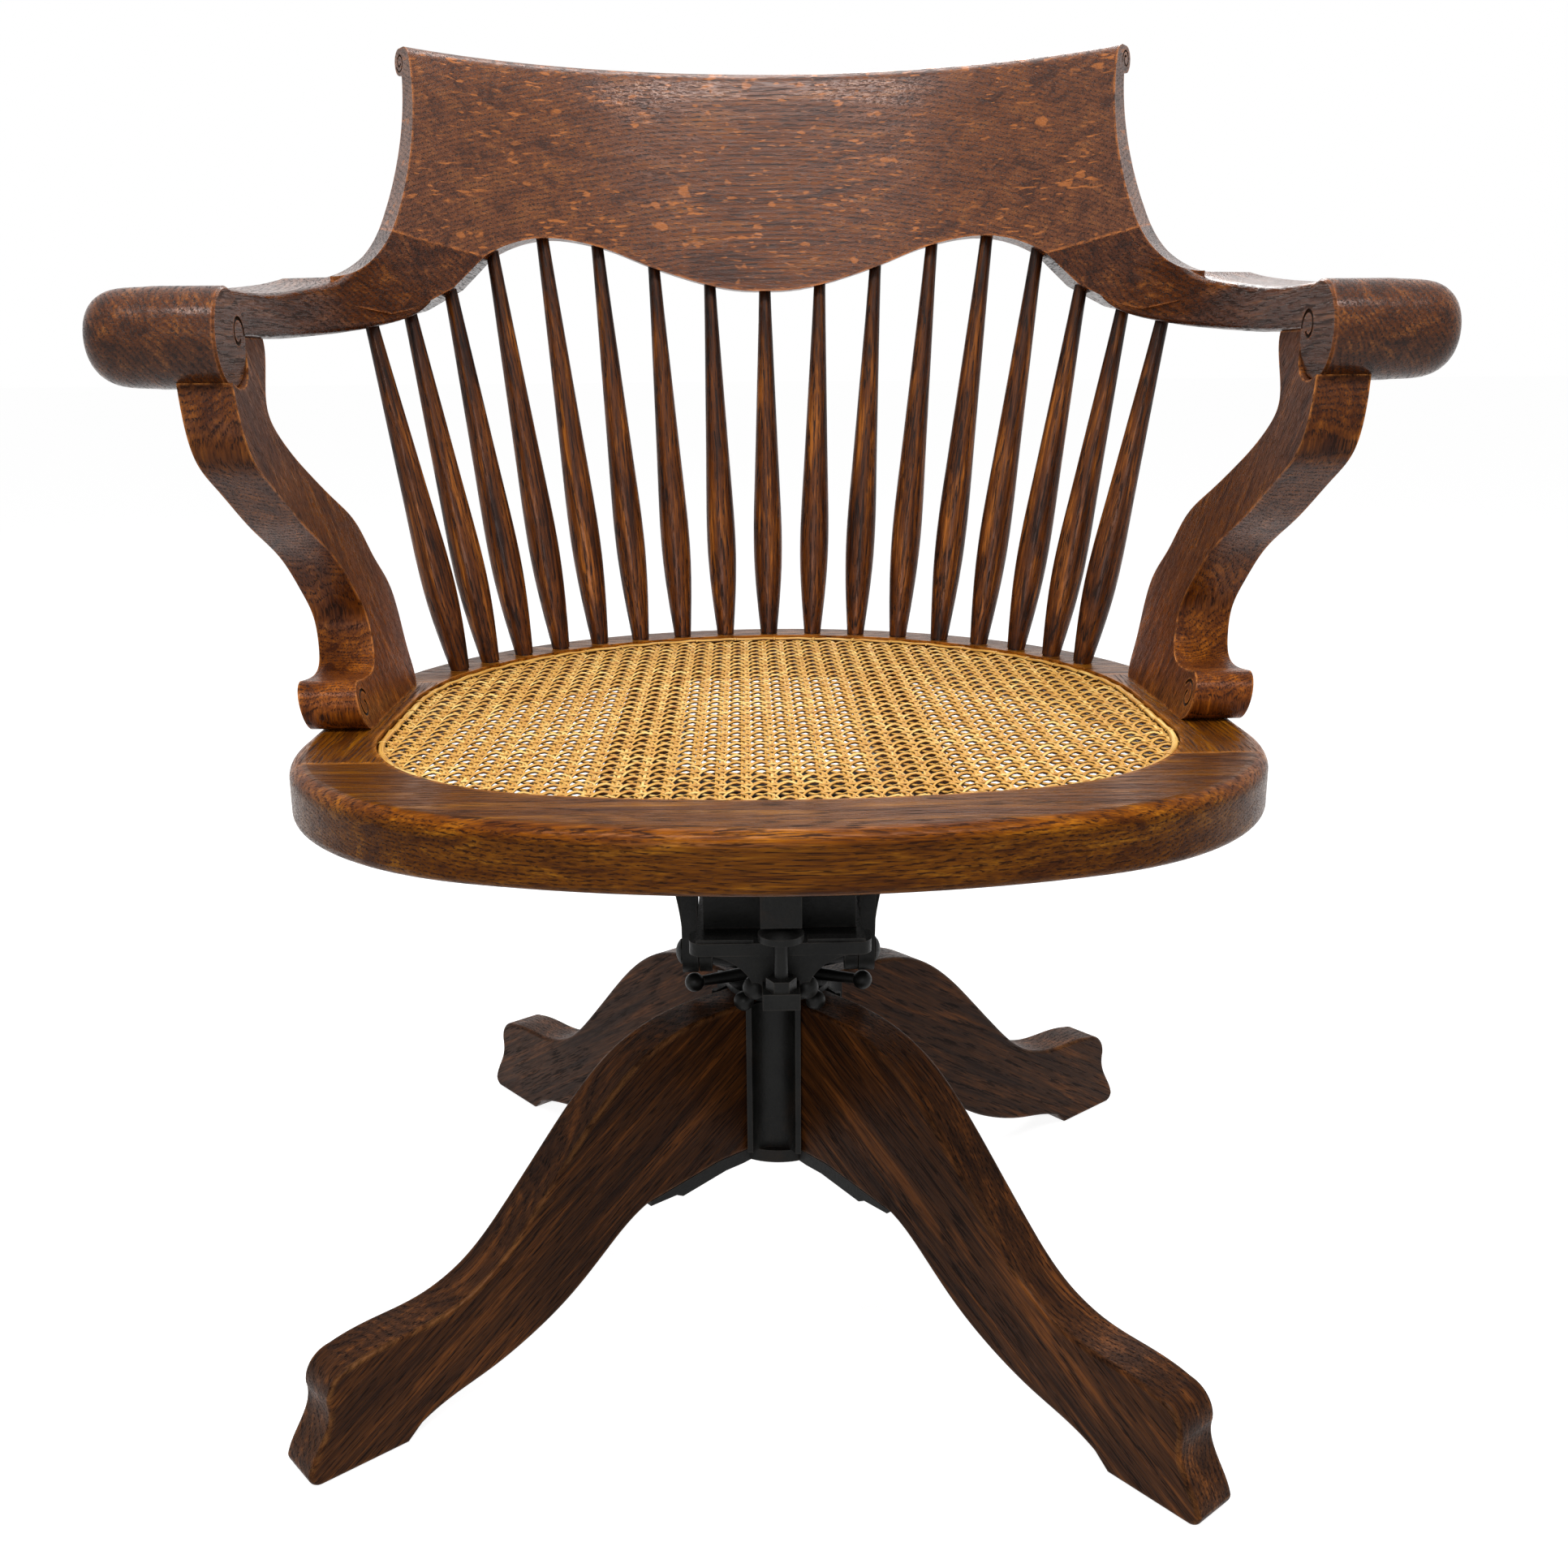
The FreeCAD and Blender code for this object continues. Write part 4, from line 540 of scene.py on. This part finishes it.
for side, name in ((-1, "left"), (1, "right")):
    def hand_face(across, height, side=side):
        return place(side * HAND_FACE_X, across, height)

    def foot_face(across, height, side=side):
        return place(side * (FOOT_FACE_X + (height - FOOT_HEIGHT) * FOOT_FACE_LEAN), across, height)

    def foot_back(across, height, side=side):
        return place(side * (FOOT_BACK_X + (height - FOOT_HEIGHT) * FOOT_BACK_LEAN), across, height)

    outward = (side, 0, 0)
    curl = swept_tube("curl", spiral(lay=hand_face, **HAND_CURL), outward, HAND_GROOVE * MM)
    carved("arm_" + name, "seat", arm_oak[name], [curl])
    feet = [swept_tube("foot_curl", spiral(lay=lay, **FOOT_CURL), outward, FOOT_GROOVE * MM)
            for lay in (foot_face, foot_back)]
    carved("arm_support_" + name, "seat", support_oak[name], feet)


def roll_end_tube(side):
    """Curl cut into one end of the crest's roll, on the sawn end's own slanting plane."""
    normal = Vector((side * ROLL_NORMAL.x, ROLL_NORMAL.y, ROLL_NORMAL.z))
    level = Vector((0, 0, 1)).cross(normal).normalized()
    upward = normal.cross(level)
    middle = place(side * ROLL_END[0], ROLL_END[1], ROLL_END[2])

    def lay(across, height):
        return middle + (level * across + upward * height) * MM

    curl = spiral((0, 0), ROLL_START, -side * ROLL_SWEEP, ROLL_WIDE, ROLL_NARROW, lay)
    return swept_tube("roll_ring", curl, normal, ROLL_GROOVE * MM)


carved("crest_rail", "seat", crest_oak, [roll_end_tube(-1), roll_end_tube(1)])


# Cane. Sizes of its fibres and stains in metres, along and across a strand
FIBRE = (0.03, 0.0003, 50.0)
STAIN = (0.06, 0.004, 50.0)


def cane(name, straw, shade, pale, under):
    """Cane strand; its own field runs along it in X, across it in Y, and is 1 at its underside in Z, where
    the under colour paints shade.
    """
    graph = Graph(name)
    field = graph.node("ShaderNodeAttribute", attribute_name="strand").outputs["Vector"]
    fibre = graph.spread(field, FIBRE, 3.0, 0.6)
    stain = graph.spread(field, STAIN, 2.0)
    body = graph.mix(graph.ramp(fibre, 0.35, 0.65), shade, straw)
    body = graph.mix(graph.ramp(stain, 0.5, 0.68), body, pale)
    low = graph.node("ShaderNodeSeparateXYZ")
    graph.link(field, low.inputs[0])
    # Painted shade: the strands' lower faces and sides take the dark under colour, so the holes read dark
    body = graph.mix(graph.ramp(low.outputs[2], 0.22, 0.7), body, under)
    graph.link(body, graph.shader.inputs["Base Color"])
    graph.shader.inputs["Roughness"].default_value = 0.42
    graph.shader.inputs["Specular IOR Level"].default_value = 0.25
    graph.link(graph.bump(fibre, 0.0002, 0.5), graph.shader.inputs["Normal"])
    return graph.material


# The last colour is painted shade for the strands' undersides and sides
straw = cane("cane_strand", colour(232, 182, 90), colour(178, 116, 42), colour(244, 208, 126),
             colour(66, 36, 14))

# The opening, the weave's steps and rises, and each strand's width and thickness, in millimetres
CANE_HALF = 226.0
CANE_REAR = 9.0
CANE_FRONT = 232.0
CANE_FRONT_RADIUS = 480.0
CANE_CORNER = 140.0
CANE_MID = 379.6
STEP_X = 13.2
STEP_Y = 14.0
PAIR = 1.1
LONG_STRAND = (2.0, 1.3)
CROSS_STRAND = (2.1, 1.9)
DIAGONAL_STRAND = (1.8, 1.05)
PAIR_RISE = 0.75
CROSS_STAGGER = 0.8
DIAGONAL_RISE = 1.0
STRAND_INSET = 1.0
BINDING_STEPS = 420
BINDING_INSET = 2.6
BINDING_HEIGHT = 381.3
BINDING_STRAND = (4.0, 2.6)
LOOP_EVERY = 8
LOOP_POINTS = 7
LOOP_REACH = 3.0
LOOP_FOOT = 381.0
LOOP_RISE = 1.5
LOOP_STRAND = (2.3, 0.7)
RANDOM = np.random.RandomState(7)


def inside_cane(x, y, margin):
    """True where points lie inside the cane's opening by at least the margin."""
    centre = CANE_FRONT_RADIUS - CANE_FRONT
    corner_x = CANE_HALF - CANE_CORNER
    corner_y = centre - math.sqrt((CANE_FRONT_RADIUS - CANE_CORNER) ** 2 - corner_x ** 2)
    half = CANE_HALF - margin
    rear = np.hypot(x, y - CANE_REAR) < half
    sides = np.abs(x) < half
    corner = np.hypot(np.abs(x) - corner_x, y - corner_y) < CANE_CORNER - margin
    bow = y > centre - np.sqrt(np.maximum((CANE_FRONT_RADIUS - margin) ** 2 - x ** 2, 0))
    at_corner = (np.abs(x) > corner_x) & (y < corner_y)
    return np.where(y > CANE_REAR, rear, np.where(at_corner, corner, sides & bow))


class Ribbons:
    """Collects strands, round above and flat below, and makes one mesh of them."""

    SECTION = np.array([(-0.5, 0.04), (-0.28, 0.42), (0.28, 0.42), (0.5, 0.04), (0.4, -0.42), (-0.4, -0.42)])
    # Share of painted shade at each corner of the section: all of it below, half at the widest corners
    PAINTED_SHADE_SHARE = np.array([0.5, 0.0, 0.0, 0.5, 1.0, 1.0])
    END_TAPER = 0.15

    def __init__(self):
        self.points = []
        self.faces = []
        self.strands = []
        self.count = 0

    def add(self, path, lateral, width, thickness, closed=False):
        """One strand along the path; lateral holds its sideways direction at each point."""
        total = len(path)
        corners = len(self.SECTION)
        ends = np.ones(total)
        if not closed:
            ends[0] = ends[-1] = self.END_TAPER
        wide = (width * ends)[:, None, None] * self.SECTION[None, :, 0, None] * lateral[:, None, :]
        high = thickness * ends[:, None] * self.SECTION[None, :, 1]
        block = path[:, None, :] + wide
        block[:, :, 2] += high
        self.points.append(block.reshape(-1, 3))
        rows = np.arange(total if closed else total - 1)
        first = (rows[:, None] * corners + np.arange(corners)[None, :]) + self.count
        second = (((rows + 1) % total)[:, None] * corners + np.arange(corners)[None, :]) + self.count
        quads = np.stack([first, np.roll(first, -1, 1), np.roll(second, -1, 1), second], -1)
        self.faces.append(quads.reshape(-1, 4)[:, ::-1])
        run = np.concatenate([[0], np.cumsum(np.linalg.norm(np.diff(path, axis=0), axis=1))])
        label = RANDOM.rand()
        strand = np.zeros((total, corners, 3))
        strand[:, :, 0] = run[:, None] * MM
        strand[:, :, 1] = self.SECTION[None, :, 0] * np.mean(width) * MM + label * 3.0
        strand[:, :, 2] = self.PAINTED_SHADE_SHARE[None, :]
        self.strands.append(strand.reshape(-1, 3))
        self.count += total * corners

    def build(self, name, material):
        points = np.concatenate(self.points)
        points[:, 1] -= BACKSET
        faces = np.concatenate(self.faces)
        data = bpy.data.meshes.new(name)
        data.vertices.add(len(points))
        data.vertices.foreach_set("co", (points * MM).astype(np.float32).ravel())
        data.loops.add(faces.size)
        data.loops.foreach_set("vertex_index", faces.astype(np.int32).ravel())
        data.polygons.add(len(faces))
        data.polygons.foreach_set("loop_start", np.arange(0, faces.size, 4, dtype=np.int32))
        data.update(calc_edges=True)
        data.validate()
        label = data.attributes.new("strand", "FLOAT_VECTOR", "POINT")
        label.data.foreach_set("vector", np.concatenate(self.strands).astype(np.float32).ravel())
        data.shade_smooth()
        made = bpy.data.objects.new(name, data)
        bpy.context.scene.collection.objects.link(made)
        data.materials.append(material)
        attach(made, "seat")
        return made


weave = Ribbons()


def strand_path(at, run, heights, lateral, size):
    """Clips a straight strand to the opening and adds it; at gives x and y along its run."""
    x, y = at(run)
    keep = inside_cane(x, y, STRAND_INSET)
    if keep.sum() < 4:
        return
    span = run[keep]
    x, y = at(span)
    drift = np.interp(span, np.linspace(-400, 400, 41), RANDOM.uniform(-0.22, 0.22, 41))
    heights = heights(x, y) + np.interp(span, np.linspace(-400, 400, 61), RANDOM.uniform(-0.12, 0.12, 61))
    path = np.stack([x + drift * lateral[0], y + drift * lateral[1], CANE_MID + heights], -1)
    width, thickness = size
    wide = width * (1 + np.interp(span, np.linspace(-400, 400, 31), RANDOM.uniform(-0.09, 0.09, 31)))
    weave.add(path, np.tile(np.array([lateral[0], lateral[1], 0.0]), (len(path), 1)), wide, thickness)


def wave(value, step):
    """Rises and falls once per step."""
    return np.sin(2 * math.pi * (value / step - 0.5))


def long_heights(side):
    """Heights of one strand of a pair that runs from front to back."""
    return lambda x, y: side * PAIR_RISE * wave(y, STEP_Y)


def cross_heights(side):
    """Heights of one strand of a pair that runs from side to side; by a hole the rear one stands higher."""
    def heights(x, y):
        stagger = CROSS_STAGGER * np.cos(math.pi * x / STEP_X) ** 2
        return side * (stagger - PAIR_RISE * wave(x, STEP_X))
    return heights


def diagonal_heights(slope):
    """Heights of a diagonal strand, which passes over the pairs one way and under them the other way."""
    return lambda x, y: slope * DIAGONAL_RISE * np.clip(1.5 * np.cos(2 * math.pi * x / STEP_X), -1, 1)


# Points of one step at which a pair's strand and a diagonal strand get a ring of corners
PAIR_POINTS = np.array([0.0, 0.2, 0.38, 0.5, 0.62, 0.8])
DIAGONAL_POINTS = np.array([0.0, 0.18, 0.34, 0.5, 0.66, 0.82])
grid = np.arange(-30, 30)
pair_run = (grid[:, None] + PAIR_POINTS[None, :]).ravel()
diagonal_run = (grid[:, None] + DIAGONAL_POINTS[None, :]).ravel()
for index in range(-19, 19):
    for pair_side in (-1, 1):
        middle_x = (index + 0.5) * STEP_X + pair_side * PAIR
        strand_path(lambda t, m=middle_x: (np.full_like(t, m), t), pair_run * STEP_Y,
                    long_heights(pair_side), (1, 0), LONG_STRAND)
        middle_y = (index + 0.5) * STEP_Y + pair_side * PAIR
        strand_path(lambda t, m=middle_y: (t, np.full_like(t, m)), pair_run * STEP_X,
                    cross_heights(pair_side), (0, 1), CROSS_STRAND)
length = math.hypot(STEP_X, STEP_Y)
for index in range(-38, 38):
    for slope in (-1, 1):
        lateral = (STEP_Y / length, -slope * STEP_X / length)
        strand_path(lambda t, k=index, s=slope: (t * STEP_X, (s * t + k + 0.5) * STEP_Y), diagonal_run,
                    diagonal_heights(slope), lateral, DIAGONAL_STRAND)
cane_weave = weave.build("cane_weave", straw)
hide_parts("cane_panel")


def rim_points(margin, count):
    """Points round the cane's opening, at the margin inside it, found along rays from its middle."""
    turn = np.linspace(0, 2 * math.pi, count, endpoint=False)
    low = np.zeros(count)
    high = np.full(count, 300.0)
    for _ in range(30):
        middle = (low + high) / 2
        within = inside_cane(middle * np.cos(turn), middle * np.sin(turn) - 20.0, margin)
        low = np.where(within, middle, low)
        high = np.where(within, high, middle)
    return low * np.cos(turn), low * np.sin(turn) - 20.0


binding = Ribbons()
x, y = rim_points(BINDING_INSET, BINDING_STEPS)
steps = np.arange(BINDING_STEPS)
path = np.stack([x, y, np.full_like(x, BINDING_HEIGHT)], -1)
path[:, 2] += 0.25 * np.sin(steps * 0.9) + RANDOM.uniform(-0.12, 0.12, BINDING_STEPS)
ahead = np.roll(path, -1, 0) - np.roll(path, 1, 0)
outward = np.stack([ahead[:, 1], -ahead[:, 0], np.zeros(BINDING_STEPS)], -1)
outward /= np.linalg.norm(outward, axis=1)[:, None]
width, thickness = BINDING_STRAND
binding.add(path, outward, width * (1 + 0.08 * np.sin(steps * 0.37)), thickness, closed=True)
width, thickness = LOOP_STRAND
for number in range(0, BINDING_STEPS, LOOP_EVERY):
    bow = np.linspace(-1, 1, LOOP_POINTS)
    loop = path[number] + outward[number] * (bow * LOOP_REACH)[:, None]
    loop[:, 2] = LOOP_FOOT + LOOP_RISE * (1 - bow ** 2) ** 0.5
    along = ahead[number] / np.linalg.norm(ahead[number])
    binding.add(loop, np.tile(along, (LOOP_POINTS, 1)), np.full(LOOP_POINTS, width), thickness)
cane_binding = binding.build("cane_binding", straw)
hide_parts("cane_spline")

# Floor, lights and camera
FLOOR_TINT = 0.45
FLOOR_GLOW = 0.90
SKY_LIGHT = 0.20


def seen_directly(tree):
    """1 for the rays that show the background itself: camera, glossy and transmission rays."""
    path = tree.nodes.new("ShaderNodeLightPath")
    share = path.outputs["Is Camera Ray"]
    for kind in ("Is Glossy Ray", "Is Transmission Ray"):
        either = tree.nodes.new("ShaderNodeMath")
        either.operation = "MAXIMUM"
        tree.links.new(share, either.inputs[0])
        tree.links.new(path.outputs[kind], either.inputs[1])
        share = either.outputs[0]
    return share


bpy.ops.mesh.primitive_grid_add(x_subdivisions=4, y_subdivisions=4, size=60.0, location=(0, 20, -0.0005))
floor = bpy.context.object
floor.name = "floor"
graph = Graph("pale_floor")
shadow = graph.node("ShaderNodeBsdfDiffuse")
shadow.inputs["Color"].default_value = (FLOOR_TINT, FLOOR_TINT, FLOOR_TINT, 1.0)
glow = graph.node("ShaderNodeEmission")
glow.inputs["Strength"].default_value = FLOOR_GLOW
no_glow = graph.node("ShaderNodeEmission")
no_glow.inputs["Strength"].default_value = 0.0
pick = graph.node("ShaderNodeMixShader")
graph.link(seen_directly(graph.tree), pick.inputs[0])
graph.link(no_glow.outputs[0], pick.inputs[1])
graph.link(glow.outputs[0], pick.inputs[2])
both = graph.node("ShaderNodeAddShader")
graph.link(shadow.outputs[0], both.inputs[0])
graph.link(pick.outputs[0], both.inputs[1])
graph.link(both.outputs[0], graph.tree.nodes["Material Output"].inputs["Surface"])
floor.data.materials.append(graph.material)
floor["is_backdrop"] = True

world = bpy.data.worlds.new("studio")
world.use_nodes = True
bpy.context.scene.world = world
tree = world.node_tree
sky = tree.nodes["Background"]
sky.inputs["Color"].default_value = (1, 1, 1, 1)
sky.inputs["Strength"].default_value = SKY_LIGHT
white = tree.nodes.new("ShaderNodeBackground")
white.inputs["Color"].default_value = (1, 1, 1, 1)
white.inputs["Strength"].default_value = 1.0
pick = tree.nodes.new("ShaderNodeMixShader")
tree.links.new(seen_directly(tree), pick.inputs[0])
tree.links.new(sky.outputs[0], pick.inputs[1])
tree.links.new(white.outputs[0], pick.inputs[2])
tree.links.new(pick.outputs[0], tree.nodes["World Output"].inputs["Surface"])


def lamp(name, where, aim, wide, deep, power):
    """Soft rectangular lamp at a place, turned to a point."""
    data = bpy.data.lights.new(name, "AREA")
    data.shape = "RECTANGLE"
    data.size = wide
    data.size_y = deep
    data.energy = power
    made = bpy.data.objects.new(name, data)
    bpy.context.scene.collection.objects.link(made)
    made.location = where
    made.rotation_mode = "QUATERNION"
    made.rotation_quaternion = (Vector(aim) - Vector(where)).to_track_quat("-Z", "Y")


lamp("strip_lamp", (0.0, -1.1, 2.3), (0, 0, 0.4), 2.2, 0.45, 46)
lamp("top_lamp", (0.1, 0.7, 2.3), (0, 0, 0.4), 0.8, 0.8, 16)
lamp("front_lamp", (-0.4, -2.4, 1.1), (0, 0, 0.4), 0.9, 0.9, 13)
lamp("back_lamp", (0.5, 2.2, 1.9), (0, 0, 0.5), 0.9, 0.9, 17)

# The camera that was fitted to the photograph
CAMERA_PLACE = (-0.0188, -0.9873, 0.5862)
CAMERA_LOOK = (0.0191, 0.9650, -0.2615)
CAMERA_ROLL = -0.0076
camera = bpy.data.objects.new("camera", bpy.data.cameras.new("camera"))
bpy.context.scene.collection.objects.link(camera)
bpy.context.scene.camera = camera
camera.data.sensor_width = 36.0
camera.data.lens = 35.72
camera.data.shift_x = 0.0049
forward = Vector(CAMERA_LOOK).normalized()
right = forward.cross(Vector((0, 0, 1))).normalized()
upward = right.cross(forward)
level = right * math.cos(CAMERA_ROLL) + upward * math.sin(CAMERA_ROLL)
upright = upward * math.cos(CAMERA_ROLL) - right * math.sin(CAMERA_ROLL)
turn = Matrix((level, upright, -forward)).transposed().to_4x4()
turn.translation = Vector(CAMERA_PLACE)
camera.matrix_world = turn
bpy.context.scene.view_settings.view_transform = "Standard"

boxes = {"cad": CAD_BOX, "visual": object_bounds()}
{name: [list(corner) for corner in box] for name, box in boxes.items()}
